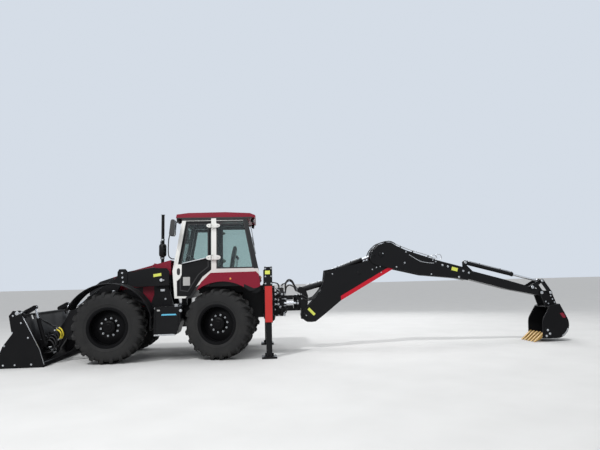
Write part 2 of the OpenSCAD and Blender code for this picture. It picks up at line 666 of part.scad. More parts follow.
// Tilt cylinders, levers and links run inside the arms
tilt_len = norm(lever_top - tilt_base);
tilt_barrel_l = tilt_len - 350;
module tilt_barrels() placed() color(black_paint) mirrored_y()
    barrel(tilt_base, lever_top, tilt_y, tilt_d, tilt_barrel_l, 40, 50, 44);
module tilt_rods() placed() color(steel) mirrored_y()
    rod(tilt_base, lever_top, tilt_y, 40, tilt_len - 250, 70, 44);
module tilt_levers() placed() color(black_paint) mirrored_y() difference() {
    for (s = [-1, 1]) side_plate(tilt_y + s * (22 + side_fit + 7), 14) strap(lever_pin, lever_top, 110, 80);
    cross_pin(lever_pin, tilt_y, 60 + 2 * pin_fit, 200);
}
module tilt_links() placed() color(black_paint) mirrored_y() difference() {
    side_plate(link_y, 24) strap(lever_top, link_eye, 80, 80);
    cross_pin(link_eye, link_y, 40 + 2 * pin_fit, 200);
}

// Front bucket: blade with ears, and the jaw that swings in front of it
blade_w = bucket_w - 2 * bucket_t - 10;
function blade_back(z) = bucket_pin[0] - 150 - 230 * pow(max(0, z - 300) / 700, 1.2);
blade_zs = [34, 300, 480, 660, 840, bucket_h];
function blade_line(i, t) = [blade_back(blade_zs[i]) - t, blade_zs[i]];
module front_bucket() placed() color(black_paint) {
    difference() {
        side_plate(0, blade_w) polygon(concat(
            [for (i = [0:len(blade_zs) - 1]) blade_line(i, 0)],
            [for (i = [len(blade_zs) - 1:-1:0]) blade_line(i, bucket_t)]
        ));
        jaw_notch();
    }
    difference() {
        translate([blade_back(bucket_h) - 45, -blade_w / 2, bucket_h - 30]) cube([85, blade_w, 30]);
        jaw_notch();
    }
    mirrored_y() {
        for (s = [-1, 1]) side_plate(arm_y + s * (arm_t / 2 + 8 + 15), 30) ear(bucket_pin, 75, 60, 560);
        cross_pin(bucket_pin, arm_y, 60, arm_t + 40);
        side_plate(link_y - 12 - side_fit - 10, 20) ear(link_eye, 45, 330, 600);
        cross_pin(link_eye, link_y - 10, 40, 44);
        difference() {
            side_plate(blade_w / 2 - 40, 60) strap(blade_line(5, 20) - [0, 40], jaw_pin, 120, 100);
            cross_pin(jaw_pin, blade_w / 2, 50 + 2 * pin_fit, 400);
        }
        jaw_barrel();
    }
}
// Room for the jaw's levers in the top edge of the blade
module jaw_notch() mirrored_y() translate([blade_back(bucket_h) - 100, jaw_cyl_y - 50, bucket_h - 110])
    cube([200, 100, 200]);
// A plate from the blade to a round eye behind it
module ear(p, r, z0, z1) {
    translate(p) circle(r = r);
    polygon([
        p + [0, r - 2], [blade_back(z1) - 4, z1], [blade_back((z0 + z1) / 2) - 4, (z0 + z1) / 2],
        [blade_back(z0) - 4, z0], p - [0, r - 2], p + [r / 2, 0]
    ]);
}
jaw_cyl_y = 800;
jaw_cyl_base = [bucket_pin[0] - 100, 400];
jaw_lever = jaw_pin + [160, 92];
jaw_len = norm(jaw_lever - jaw_cyl_base);
module jaw_barrel() difference() {
    union() {
        bar(jaw_cyl_base, along(jaw_cyl_base, jaw_lever, jaw_len - 230), jaw_cyl_y, 76);
        side_plate(jaw_cyl_y, 60) ear(jaw_cyl_base, 45, 300, 500);
    }
    bar(along(jaw_cyl_base, jaw_lever, 60), jaw_lever, jaw_cyl_y, 40 + 2 * pin_fit);
}
module jaw_rods() placed() color(steel) mirrored_y()
    rod(jaw_cyl_base, jaw_lever, jaw_cyl_y, 40, jaw_len - 250, 70, 46);

module jaw_side() polygon([for (p = [
    [-630, 980], [-575, 700], [-554, 640], [-720, 406], [-755, 314], [-830, 20], [-830, 0], [50, 0],
    [50, 50], [-40, 325], [-230, 680], [-380, 960], [-410, 1060], [-560, 1075]
]) [bucket_pin[0] + p[0], p[1] * bucket_h / 1000]]);
module bucket_jaw() placed() color(black_paint) {
    mirrored_y() side_plate(bucket_w / 2 - bucket_t / 2, bucket_t) jaw_side();
    side_plate(0, bucket_w) polygon([
        [bucket_pin[0] + 40, 0], [bucket_pin[0] + 40, 24], [lip_x + 120, 24], [lip_x, 8], [lip_x, 0]
    ]);
    mirrored_y() {
        cross_pin(jaw_pin, (jaw_cyl_y + bucket_w / 2) / 2 - 10, 50, bucket_w / 2 - jaw_cyl_y);
        for (s = [-1, 1]) side_plate(jaw_cyl_y + s * (23 + side_fit + 8), 16) strap(jaw_pin, jaw_lever, 90, 80);
    }
}

// Sliding carriage of the backhoe
carriage_w = 660;
plate_x = frame_x + frame_d / 2 + 0.5;
lug_z = [860, 1150];
lug_t = 50;
swing_z = 1030;
swing_y = 180;
swing_barrel = [frame_x - 103, swing_x - 300];
swing_eye = 50;
module carriage() placed() color(black_paint) difference() {
    union() {
        translate([plate_x, -carriage_w / 2, low_rail_z - 30])
            cube([40, carriage_w, top_rail_z + top_rail_h + 60 - low_rail_z]);
        translate([frame_x - frame_d / 2 - 20, -carriage_w / 2, top_rail_z + top_rail_h + 0.5])
            cube([frame_d + 40, carriage_w, 29.5]);
        translate([frame_x - frame_d / 2 - 20, -carriage_w / 2, low_rail_z - 30])
            cube([frame_d + 40, carriage_w, 29.5]);
        for (z = lug_z) translate([0, 0, z]) linear_extrude(lug_t) {
            translate([swing_x, 0]) circle(r = 80);
            polygon([
                [plate_x + 20, -260], [plate_x + 20, 260], [swing_x - 200, 80], [swing_x, 80],
                [swing_x, -80], [swing_x - 200, -80]
            ]);
        }
        for (s = [-1, 1]) translate([swing_barrel[0], s * swing_y, swing_z]) rotate([0, 90, 0])
            cylinder(d = 90, h = swing_barrel[1] - swing_barrel[0]);
    }
    for (z = lug_z) translate([swing_x, 0, z - 1]) cylinder(d = 90 + 2 * pin_fit, h = lug_t + 2);
    for (s = [-1, 1]) translate([swing_barrel[0] + 40, s * swing_y, swing_z]) rotate([0, 90, 0])
        cylinder(d = 45 + 2 * pin_fit, h = 1000);
}
module swing_rod(side) placed() color(steel) {
    translate([swing_x - 400, side * swing_y, swing_z]) rotate([0, 90, 0]) cylinder(d = 45, h = 370);
    translate([swing_x, side * swing_y, swing_z]) cylinder(d = 70, h = swing_eye, center = true);
}
module swing_rod_left() swing_rod(-1);
module swing_rod_right() swing_rod(1);

// Kingpost between the two lugs, with its boom foot and the ears that hold the boom cylinder's barrel
king_w = boom_w - 2 * plate_t - 12;
boom_eye_w = 70;
module kingpost() placed() color(black_paint) {
    low = lug_z[0] + lug_t + 2;
    high = lug_z[1] - 2;
    translate([swing_x, 0, low]) cylinder(r = 78, h = high - low);
    translate([swing_x, 0, low - lug_t]) cylinder(d = 90, h = high - low + 2 * lug_t);
    translate([swing_x, -king_w / 2 + 6, low]) cube([120, king_w - 12, high - low]);
    difference() {
        side_plate(0, king_w) union() {
            polygon([
                [swing_x + 86, boom_foot[1] - 90], [swing_x + 86, boom_cyl_base[1] + 60],
                [swing_x + 150, boom_cyl_base[1] + 60], [swing_x + 200, 1100],
                [swing_x + 200, boom_foot[1] + 70], [boom_foot[0] + 60, boom_foot[1] - 80]
            ]);
            translate(boom_foot) circle(r = 95);
            translate(boom_cyl_base) circle(r = 70);
        }
        cross_pin(boom_cyl_base, 0, 430, boom_cyl_d + 2 * side_fit);
    }
    cross_pin(boom_cyl_base, 0, 64, king_w);
    cross_pin(boom_foot, 0, 80, boom_w + 24);
    for (s = [-1, 1]) for (t = [-1, 1]) translate([swing_x, 0, swing_z + t * (swing_eye / 2 + side_fit + 8)])
        linear_extrude(16, center = true) strap([0, 0], [0, s * swing_y], 140, 80);
}

// Boom: two side plates, a floor plate and cross members
function boom_pt(p, q) = boom_foot + turn([p * boom_l / 2206, q], boom_a);
boom_points = [
    [-104, -22], [-60, -150], [17, -212], [97, -262], [400, -262], [836, -249], [2249, -441],
    [2320, -370], [2330, -60], [2206, 120], [2060, 40], [1992, 14], [1854, 75], [1606, 182],
    [962, 506], [775, 321], [617, 188], [175, 116], [4, 110]
];
module boom() placed() color(black_paint) {
    for (s = [-1, 1]) difference() {
        side_plate(s * (boom_w / 2 - plate_t / 2), plate_t) union() {
            polygon([for (p = boom_points) boom_pt(p[0], p[1])]);
            translate(dipper_pin) circle(r = 130);
        }
        cross_pin(boom_foot, 0, 80 + 2 * pin_fit, 2 * boom_w);
        cross_pin(dipper_pin, 0, 80 + 2 * pin_fit, 2 * boom_w);
    }
    side_plate(0, boom_w - 2) polygon([
        boom_pt(330, -262), boom_pt(400, -262), boom_pt(836, -249), boom_pt(2249, -441),
        boom_pt(2245, -415), boom_pt(836, -223), boom_pt(330, -236)
    ]);
    difference() {
        cross_pin(dipper_pin, 0, 150, boom_w - 2);
        cross_pin(dipper_pin, 0, 80 + 2 * pin_fit, 2 * boom_w);
    }
    for (s = [-1, 1]) difference() {
        cross_pin(boom_rod_eye, s * boom_w / 4, 100, boom_w / 2 - 2);
        cross_pin(boom_rod_eye, 0, 120, boom_eye_w + 2 * side_fit);
    }
    cross_pin(crowd_base, 0, 56, boom_w - 2);
}
boom_cyl_l = norm(boom_rod_eye - boom_cyl_base);
module boom_barrel() placed() color(black_paint)
    barrel(boom_cyl_base, boom_rod_eye, 0, boom_cyl_d, boom_cyl_l - 452, 64, boom_cyl_d - 8, 64);
module boom_rod() placed() color(steel)
    rod(boom_cyl_base, boom_rod_eye, 0, 64, boom_cyl_l - 470, 110, boom_eye_w);

crowd_l = norm(crowd_eye - crowd_base);
module dipper_barrel() placed() color(black_paint)
    barrel(crowd_base, crowd_eye, 0, crowd_cyl_d, crowd_l - 240, 56, 90, 56);
module dipper_rod() placed() color(steel)
    rod(crowd_base, crowd_eye, 0, 56, crowd_l - 130, 90, 60);

// Dipper: side plates that straddle the boom, then a slotted box for the stick
dipper_w = boom_w + 2 * plate_t + 12;
dipper_points = [
    [-60, -262], [-167, -235], [-215, -140], [-215, 0], [-191, 70], [-110, 190], [-22, 254],
    [80, 310], [176, 329], [300, 285], [560, 240], [1331, 198], [2123, 198], [2123, -74],
    [1883, -87], [1067, -223], [353, -250]
];
web_u = 700;
floor_u = 1110;
slot_w = 150;
stick_w = boom_w;
stick_top = 165;
stick_low = -40;
function dip_pt(p) = on_dipper(p[0] > 600 ? p[0] * dipper_l / 2123 : p[0], p[1]);
module dipper() placed() color(black_paint) {
    for (s = [-1, 1]) side_plate(s * (dipper_w / 2 - plate_t / 2), plate_t) union() {
        polygon([for (p = dipper_points) dip_pt(p)]);
    }
    side_plate(0, dipper_w - 2) polygon([for (p = [
        [floor_u, -212], [1883, -84], [2110, -71], [2110, -50], [1883, -60], [floor_u, -189]
    ]) dip_pt(p)]);
    for (s = [-1, 1]) side_plate(s * (dipper_w / 2 - (dipper_w - slot_w) / 4), (dipper_w - slot_w) / 2 - 1)
        polygon([for (p = [[web_u, 171], [2110, 171], [2110, 195], [web_u, 195]]) dip_pt(p)]);
    side_plate(0, dipper_w - plate_t) polygon([for (p = [
        [1900, -66], [2090, -60], [2090, stick_low - 0.5], [1900, stick_low - 0.5]
    ]) dip_pt(p)]);
    cross_pin(dipper_pin, 0, 80, dipper_w + 30);
    for (s = [-1, 1]) side_plate(s * (30 + side_fit + 10), 20) strap(crowd_eye, crowd_eye + [12, -60], 110, 60);
    for (s = [-1, 1]) cross_pin(crowd_eye, s * (dipper_w / 2 + 40) / 2, 66, dipper_w / 2 - 42);
}

// Telescopic stick that carries the bucket
stick_points = [
    [-1, stick_low], [-1, stick_top], [700, stick_top], [1200, 165], [1880, 150], [2170, 120],
    [2200, 60], [2140, 10], [1300, -40]
];
function stick_pt(p) = on_dipper(stick_in + p[0] * (digger_u - stick_in) / 2111, p[1]);
stick_wall = 14;
module stick() placed() color(black_paint) {
    difference() {
        side_plate(0, stick_w) polygon([for (p = stick_points) stick_pt(p)]);
        side_plate(0, stick_w - 2 * stick_wall) polygon([for (p = [
            [-10, stick_low + stick_wall], [-10, stick_top - stick_wall],
            [1500, stick_top - stick_wall], [1500, stick_low + stick_wall]
        ]) stick_pt(p)]);
        cross_pin(digger_pin, 0, 60 + 2 * pin_fit, 400);
    }
    for (s = [-1, 1]) side_plate(s * (curl_eye_w / 2 + side_fit + 9), 18) polygon([
        on_dipper(dipper_l - 140, 330), on_dipper(dipper_l - 120, 368), on_dipper(dipper_l - 58, 368),
        on_dipper(dipper_l - 45, 268), on_dipper(dipper_l + 140, stick_top - 4),
        on_dipper(dipper_l - 90, stick_top - 4)
    ]);
    cross_pin(curl_base, 0, 50, curl_eye_w + 30);
    cross_pin(curl_lever_pin, 0, 56, stick_w + 60);
}
curl_eye_w = 60;
curl_l = norm(curl_top - curl_base);
module curl_barrel() placed() color(black_paint)
    barrel(curl_base, curl_top, 0, curl_cyl_d, curl_l - 640, 56, curl_eye_w, 50);
module curl_rod() placed() color(steel)
    rod(curl_base, curl_top, 0, 56, curl_l - 330, 90, 60);

// Bucket linkage: the lever carries the rod's eye, the link runs outside it
lever_y = stick_w / 2 + 12;
curl_link_y = stick_w / 2 + 46;
module curl_lever() placed() color(black_paint) {
    difference() {
        for (s = [-1, 1]) side_plate(s * lever_y, 18) strap(curl_lever_pin, curl_top, 110, 76);
        cross_pin(curl_lever_pin, 0, 56 + 2 * pin_fit, 400);
    }
    for (s = [-1, 1]) {
        side_plate(s * (30 + side_fit + 8), 16) translate(curl_top) circle(d = 90);
        cross_pin(curl_top, s * (lever_y + 38) / 2, 56, lever_y - 38);
        cross_pin(curl_top, s * (lever_y + 15), 50, 16);
    }
}
module curl_link() placed() color(black_paint) difference() {
    for (s = [-1, 1]) side_plate(s * curl_link_y, 18) strap(curl_top, digger_ear, 90, 90);
    cross_pin(digger_ear, 0, 46 + 2 * pin_fit, 500);
}

// Digging bucket with its coupler and teeth
lip = [digger_pin[0] - 146, 80];
module digger_outline(r, inset) {
    hull() {
        translate(bowl_centre) circle(r = r, $fn = 64);
        translate(lip + [inset, inset]) circle(r = 2, $fn = 16);
        translate(digger_pin + [80 + inset, -310 - inset]) circle(r = 4, $fn = 16);
        translate(digger_pin + [320 - inset, -265 - inset]) circle(r = 4, $fn = 16);
    }
}
module rear_bucket() placed() color(black_paint) {
    difference() {
        side_plate(0, digger_w) digger_outline(bowl_r, 0);
        side_plate(0, digger_w - 2 * bucket_t) digger_outline(bowl_r - bucket_t, bucket_t);
        side_plate(0, digger_w - 2 * bucket_t) polygon([
            lip + [10, 24], digger_pin + [112, -331], digger_pin + [-400, -331], lip + [-300, 24]
        ]);
    }
    for (s = [-1, 1]) side_plate(s * (stick_w / 2 + 5 + 14), 28) coupler_side();
    cross_pin(digger_pin, 0, 60, stick_w + 60);
    cross_pin(digger_ear, 0, 46, 2 * curl_link_y + 26);
    for (i = [-2:2]) translate([lip[0], i * (digger_w / 2 - tooth_w / 2 - 20) / 2, lip[1]])
        bucket_tooth();
}
module coupler_side() {
    strap(digger_pin, digger_ear, 88, 104);
    polygon([
        digger_pin + [-38, 0], digger_pin + [60, -318], digger_pin + [340, -280], digger_ear + [52, 0]
    ]);
}
module bucket_tooth() rotate([90, 0, 0]) linear_extrude(tooth_w, center = true)
    polygon([[100, 12], [80, 140], [48, 136], [-196, -68], [-204, -80], [-190, -80], [-20, 4]]);

chassis_frame();
engine_block();
axles();
engine_panels();
bonnet();
cab_frame();
cab_glass();
roof();
door_left();
door_right();
door_glass_left();
door_glass_right();
seat();
console();
rear_fenders();
front_fenders();
side_tanks();
exhaust_stack();
rear_frame();
stabiliser_left();
stabiliser_right();
knuckle_front_left();
knuckle_front_right();
knuckle_rear_left();
knuckle_rear_right();
rim_front_left();
rim_front_right();
rim_rear_left();
rim_rear_right();
tyre_front_left();
tyre_front_right();
tyre_rear_left();
tyre_rear_right();
loader_arms();
lift_barrels();
lift_rods();
tilt_barrels();
tilt_rods();
tilt_levers();
tilt_links();
front_bucket();
bucket_jaw();
jaw_rods();
carriage();
swing_rod_left();
swing_rod_right();
kingpost();
boom();
boom_barrel();
boom_rod();
dipper();
dipper_barrel();
dipper_rod();
stick();
curl_barrel();
curl_rod();
curl_lever();
curl_link();
rear_bucket();
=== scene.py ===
# %% [markdown]
# # A backhoe loader, dressed for a studio picture
# The solids of the machine are already made and sit in the frame: the chassis,
# the cab, the loader in front and the long digging arm behind. This lesson adds
# what a solid leaves out, such as tyre lugs, bolts, hoses, lamps and paint.
# Everything is in metres, with X along the machine, the front at -X, and Z up.

# %% Load the frame and bake its parts in place
import math

import bpy
import bmesh
from mathutils import Matrix, Vector


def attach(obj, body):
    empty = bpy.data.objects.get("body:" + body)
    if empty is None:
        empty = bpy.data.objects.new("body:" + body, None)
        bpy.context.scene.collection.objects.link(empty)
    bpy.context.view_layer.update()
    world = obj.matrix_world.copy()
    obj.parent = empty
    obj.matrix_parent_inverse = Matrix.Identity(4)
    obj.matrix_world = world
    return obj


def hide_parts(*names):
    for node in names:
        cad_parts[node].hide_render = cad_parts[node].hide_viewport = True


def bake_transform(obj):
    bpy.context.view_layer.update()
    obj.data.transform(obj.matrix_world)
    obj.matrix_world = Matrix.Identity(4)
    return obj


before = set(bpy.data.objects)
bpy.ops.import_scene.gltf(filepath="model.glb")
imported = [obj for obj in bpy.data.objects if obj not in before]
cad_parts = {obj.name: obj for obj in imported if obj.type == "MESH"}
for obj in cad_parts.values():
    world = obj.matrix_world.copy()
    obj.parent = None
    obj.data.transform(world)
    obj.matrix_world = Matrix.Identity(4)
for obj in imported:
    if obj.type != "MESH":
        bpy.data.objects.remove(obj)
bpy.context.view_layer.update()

# %% [markdown]
# ## Drawing sizes
# The machine was drawn in millimetres from a point on the ground halfway
# between its axles. One small function turns such a point into the frame's
# metres, so every piece below can be placed with the drawing's own numbers.

# %% From drawing millimetres to frame metres
MIDDLE = 2888.71       # the frame's origin, measured along the drawing
AXLE_X = 1100          # half the wheelbase
AXLE_Z = 700
REAR_STEER = 15        # the rear wheels are parked turned by this many degrees
FORWARD, BACK, LEFT, UP = (-1, 0, 0), (1, 0, 0), (0, -1, 0), (0, 0, 1)     # as the driver sits


def at(x, y=0, z=0):
    return Vector(((x - MIDDLE) / 1000, y / 1000, z / 1000))


print("front axle at X", round(at(-AXLE_X).x, 3))

# %% [markdown]
# ## Shapes in mesh code
# Each helper returns a list of points and a list of faces. A piece is then
# one or more of these lists joined in one mesh, which is lighter than hundreds
# of objects and still lets every bolt be real geometry. A lathe turns a profile
# about an axis, a prism extrudes an outline, and a sweep follows a path, which
# is how a hose or a handrail is made.

# %% Lathe, prism and sweep
def frame_of(axis):
    """Two directions square to an axis."""
    axis = Vector(axis).normalized()
    side = axis.cross(Vector(UP))
    if side.length < 1e-3:
        side = axis.cross(Vector((0, 1, 0)))
    side.normalize()
    return axis, side, axis.cross(side)


def walls(rings, n):
    """The faces between rings of n points, one after the other."""
    return [(i * n + k, i * n + (k + 1) % n, (i + 1) * n + (k + 1) % n, (i + 1) * n + k)
            for i in range(rings - 1) for k in range(n)]


def ends(rings, n):
    last = (rings - 1) * n
    return [tuple(range(n - 1, -1, -1)), tuple(range(last, last + n))]


def lathe(base, axis, profile, n=24, ring=False):
    """Turns (height, radius) pairs about the axis. A ring stays open in the middle."""
    axis, u, v = frame_of(axis)
    turns = [2 * math.pi * k / n for k in range(n)]
    verts = [base + axis * h + (u * math.cos(a) + v * math.sin(a)) * max(r, 1e-5)
             for h, r in profile for a in turns]
    last = (len(profile) - 1) * n
    close = ([(last + k, last + (k + 1) % n, (k + 1) % n, k) for k in range(n)] if ring
             else ends(len(profile), n))
    return verts, walls(len(profile), n) + close


def rod(p, q, r, n=16):
    return lathe(p, q - p, [(0, r), ((q - p).length, r)], n)


def prism(points, push):
    """Closes an outline of points and its copy moved by push."""
    n = len(points)
    verts = list(points) + [p + push for p in points]
    faces = [tuple(range(n)), tuple(range(2 * n - 1, n - 1, -1))]
    faces += [(i + n, (i + 1) % n + n, (i + 1) % n, i) for i in range(n)]
    return verts, faces


def slab(points, push):
    """A prism in drawing millimetres."""
    return prism([at(*p) for p in points], Vector(push) / 1000)


def side_plate(outline, y0, y1):
    """A plate drawn in the side view, from y0 to y1, in drawing millimetres."""
    return slab([(x, y0, z) for x, z in outline], (0, y1 - y0, 0))


def block(x0, x1, y0, y1, z0, z1):
    return side_plate([(x0, z0), (x1, z0), (x1, z1), (x0, z1)], y0, y1)


def smooth_path(points, steps=6):
    """A soft curve through the points."""
    p = [points[0]] + list(points) + [points[-1]]
    out = []
    for a, b, c, d in zip(p, p[1:], p[2:], p[3:]):
        for s in range(steps):
            t = s / steps
            out.append(0.5 * (2 * b + (c - a) * t + (2 * a - 5 * b + 4 * c - d) * t * t
                              + (3 * b - a - 3 * c + d) * t ** 3))
    return out + [p[-2]]


def sweep(path, r, n=10):
    """A round tube along a path, with its ends closed."""
    axis, u, v = frame_of(path[1] - path[0])
    verts = []
    for i, p in enumerate(path):
        t = (path[min(i + 1, len(path) - 1)] - path[max(i - 1, 0)]).normalized()
        u = (u - t * u.dot(t)).normalized()
        v = t.cross(u)
        for k in range(n):
            a = 2 * math.pi * k / n
            verts.append(p + (u * math.cos(a) + v * math.sin(a)) * r)
    return verts, walls(len(path), n) + ends(len(path), n)


def tube(points, r, n=10, steps=6):
    """A hose or pipe of radius r along a soft curve, in drawing millimetres."""
    return sweep(smooth_path([at(*p) for p in points], steps), r, n)


def mirrored(shapes):
    """The same shapes on the other side of the machine."""
    return [([Vector((p.x, -p.y, p.z)) for p in verts], [tuple(reversed(f)) for f in faces])
            for verts, faces in shapes]


def both(shapes):
    return list(shapes) + mirrored(shapes)


print("helpers ready")

# %% [markdown]
# ## Joining shapes into a piece
# A piece gets one mesh, one material and the body it rides on. A narrow bevel
# catches light along the edges, as rolled and welded steel does, and faces that
# meet at a shallow angle are smoothed.


def piece(name, body, material, shapes, bevel=0.0, smooth=35, replaces=(), bend=None):
    """With bend given, the piece stays in place and rides on no body; the second body, start and
    end are not used.
    """
    verts, faces = [], []
    for v, f in shapes:
        faces += [tuple(i + len(verts) for i in face) for face in f]
        verts += v
    mesh = bpy.data.meshes.new(name)
    mesh.from_pydata([tuple(p) for p in verts], [], faces)
    bm = bmesh.new()
    bm.from_mesh(mesh)
    bmesh.ops.recalc_face_normals(bm, faces=bm.faces)
    bm.to_mesh(mesh)
    bm.free()
    mesh.shade_smooth()
    mesh.set_sharp_from_angle(angle=math.radians(smooth))
    made = bpy.data.objects.new(name, mesh)
    bpy.context.scene.collection.objects.link(made)
    mesh.materials.append(material)
    if bevel:
        edge = made.modifiers.new("edge", "BEVEL")
        edge.width, edge.segments = bevel, 2
        edge.limit_method, edge.angle_limit = "ANGLE", math.radians(35)
        edge.harden_normals = True
    if bend:
        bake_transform(made)
    else:
        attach(made, body)
    if replaces:
        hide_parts(*replaces)
    return made


def pair(name, body, material, shapes, **more):
    """The piece on the left body, and its mirror image on the right one."""
    piece(name + "_left", body + "_left", material, shapes, **more)
    piece(name + "_right", body + "_right", material, mirrored(shapes), **more)


# %% [markdown]
# ## Shared surface effects
# New machinery still isn't one flat colour. Three effects do most of the work
# and are built once as node groups: a fine grain that breaks up gloss, road
# dust that settles low down and on upward faces, and worn edges where a tool
# meets the ground. A group only gives masks and values; the shader stays in
# each material.

# %% Tools for wiring nodes
def join(tree, value, socket):
    """Links another node's output to a socket, or sets a plain value on it."""
    value = getattr(value, "socket", value)
    if hasattr(value, "is_linked"):
        tree.links.new(value, socket)
    else:
        socket.default_value = value


def add(tree, kind, inputs=None, **settings):
    node = tree.nodes.new(kind)
    for key, value in settings.items():
        setattr(node, key, value)
    for key, value in (inputs or {}).items():
        join(tree, value, node.inputs[key])
    return node


class Number:
    """A node's output that adds, multiplies and compares as a number does."""

    def __init__(self, tree, socket):
        self.tree, self.socket = tree, socket

    def do(self, operation, other=0.0, clamp=False):
        node = add(self.tree, "ShaderNodeMath", {0: self, 1: other}, operation=operation,
                   use_clamp=clamp)
        return Number(self.tree, node.outputs[0])

    def __add__(self, other):
        return self.do("ADD", other)

    def __sub__(self, other):
        return self.do("SUBTRACT", other)

    def __mul__(self, other):
        return self.do("MULTIPLY", other)

    def __gt__(self, other):
        return self.do("GREATER_THAN", other)

    def __lt__(self, other):
        return self.do("LESS_THAN", other)

    def __or__(self, other):
        return self.do("MAXIMUM", other)

    def __abs__(self):
        return self.do("ABSOLUTE")

    __and__ = __mul__


def noise(tree, place, scale, detail, roughness=0.5):
    node = add(tree, "ShaderNodeTexNoise", {"Vector": place, "Scale": scale, "Detail": detail,
                                            "Roughness": roughness})
    return Number(tree, node.outputs["Fac"])


def remap(tree, value, from_min=0.0, from_max=1.0, to_min=0.0, to_max=1.0):
    node = add(tree, "ShaderNodeMapRange", {
        "Value": value, "From Min": from_min, "From Max": from_max, "To Min": to_min,
        "To Max": to_max})
    return Number(tree, node.outputs["Result"])


def split(tree, vector):
    """The X, Y and Z of a vector."""
    node = add(tree, "ShaderNodeSeparateXYZ", {"Vector": vector})
    return [Number(tree, s) for s in node.outputs]


def coordinates(tree):
    return add(tree, "ShaderNodeTexCoord").outputs


def new_group(name, takes, results):
    """A node group that takes numbers, with their defaults, and returns numbers."""
    group = bpy.data.node_groups.new(name, "ShaderNodeTree")
    for label, value in takes.items():
        socket = group.interface.new_socket(label, in_out="INPUT", socket_type="NodeSocketFloat")
        socket.default_value = value
    for label in results:
        group.interface.new_socket(label, in_out="OUTPUT", socket_type="NodeSocketFloat")
    given, returned = [group.nodes.new("NodeGroup" + way) for way in ("Input", "Output")]
    return group, given.outputs, returned.inputs


# %% Grain: small changes in gloss and height
grain, given, result = new_group("grain", {"Scale": 60.0, "Rough low": 0.3, "Rough high": 0.5},
                                 ("Roughness", "Height"))
place = coordinates(grain)["Object"]
gloss = remap(grain, noise(grain, place, 2.3, 5.0, 0.6), 0.3, 0.7, given["Rough low"],
              given["Rough high"])
join(grain, gloss, result["Roughness"])
join(grain, noise(grain, place, given["Scale"], 3.0), result["Height"])

# %% Dust: more of it near the ground and on faces that look up
dust, given, result = new_group("road dust", {"Amount": 0.5, "Top": 1.2}, ("Mask",))
place = coordinates(dust)
height, facing = split(dust, place["Object"])[2], split(dust, place["Normal"])[2]
low = remap(dust, height, 0.0, given["Top"], 1.0, 0.12)
up = remap(dust, facing, 0.3, 1.0, 0.35, 1.0)
patch = remap(dust, noise(dust, place["Object"], 5.0, 8.0, 0.65), 0.35, 0.75)
join(dust, (low * up * patch).do("MULTIPLY", given["Amount"], clamp=True), result["Mask"])

# %% Edge wear: where the true normal and a rounded one differ
wear, given, result = new_group("edge wear", {"Radius": 0.006, "Amount": 0.5}, ("Mask",))
true = add(wear, "ShaderNodeNewGeometry").outputs
soft = add(wear, "ShaderNodeBevel", {"Radius": given["Radius"]}, samples=4)
same = add(wear, "ShaderNodeVectorMath", {0: true["Normal"], 1: soft.outputs["Normal"]},
           operation="DOT_PRODUCT")
edge = remap(wear, same.outputs["Value"], 0.99, 0.85)
chip = remap(wear, noise(wear, true["Position"], 38.0, 4.0), 0.45, 0.6)
join(wear, (edge * chip).do("MULTIPLY", given["Amount"], clamp=True), result["Mask"])
print("groups:", [g.name for g in bpy.data.node_groups])

# %% [markdown]
# ## Materials
# Every finish is a Principled shader with its constants on its own sockets.
# Grain drives its roughness and bump, dust mixes a grey-brown film into the
# colour, and worn edges show primer or steel where a value for wear is given.

# %% Build a finish
DUST = (0.19, 0.175, 0.15, 1)


def mix(tree, factor, a, b):
    node = add(tree, "ShaderNodeMix", {"Factor": factor}, data_type="RGBA")
    for socket, value in zip([s for s in node.inputs if s.type == "RGBA"], (a, b)):
        join(tree, value, socket)
    return [s for s in node.outputs if s.type == "RGBA"][0]


def shaded(colour, factor):
    return (*(min(1, c * factor) for c in colour), 1)


def finish(name, colour, rough=(0.3, 0.5), scale=60.0, bump=0.05, dusty=0.0, dust_top=1.2,
           worn=0.0, worn_colour=(0.25, 0.25, 0.26, 1), shader=None, second=None):
    """A painted, cast or moulded surface. second = (mask, colour) adds a second colour where the
    mask is 1: a paint boundary on most solids, painted shade on the side panels.
    """
    m = bpy.data.materials.new(name)
    m.use_nodes = True
    m.diffuse_color = (*colour, 1)
    tree = m.node_tree
    g = add(tree, "ShaderNodeGroup", {
        "Scale": scale, "Rough low": rough[0], "Rough high": rough[1]}, node_tree=grain)
    relief = add(tree, "ShaderNodeBump", {"Height": g.outputs["Height"], "Strength": bump,
                                          "Distance": 0.002})
    place = coordinates(tree)["Object"]
    shown = mix(tree, noise(tree, place, 1.7, 4.0), shaded(colour, 0.86), shaded(colour, 1.12))
    if second:
        shown = mix(tree, second[0](*split(tree, place)), shown, second[1])
    if worn:
        w = add(tree, "ShaderNodeGroup", {"Amount": worn}, node_tree=wear)
        shown = mix(tree, w.outputs["Mask"], shown, worn_colour)
    if dusty:
        d = add(tree, "ShaderNodeGroup", {"Amount": dusty, "Top": dust_top}, node_tree=dust)
        shown = mix(tree, d.outputs["Mask"], shown, DUST)
    surface = {"Base Color": shown, "Roughness": g.outputs["Roughness"],
               "Normal": relief.outputs["Normal"], **(shader or {})}
    for key, value in surface.items():
        join(tree, value, tree.nodes["Principled BSDF"].inputs[key])
    return m


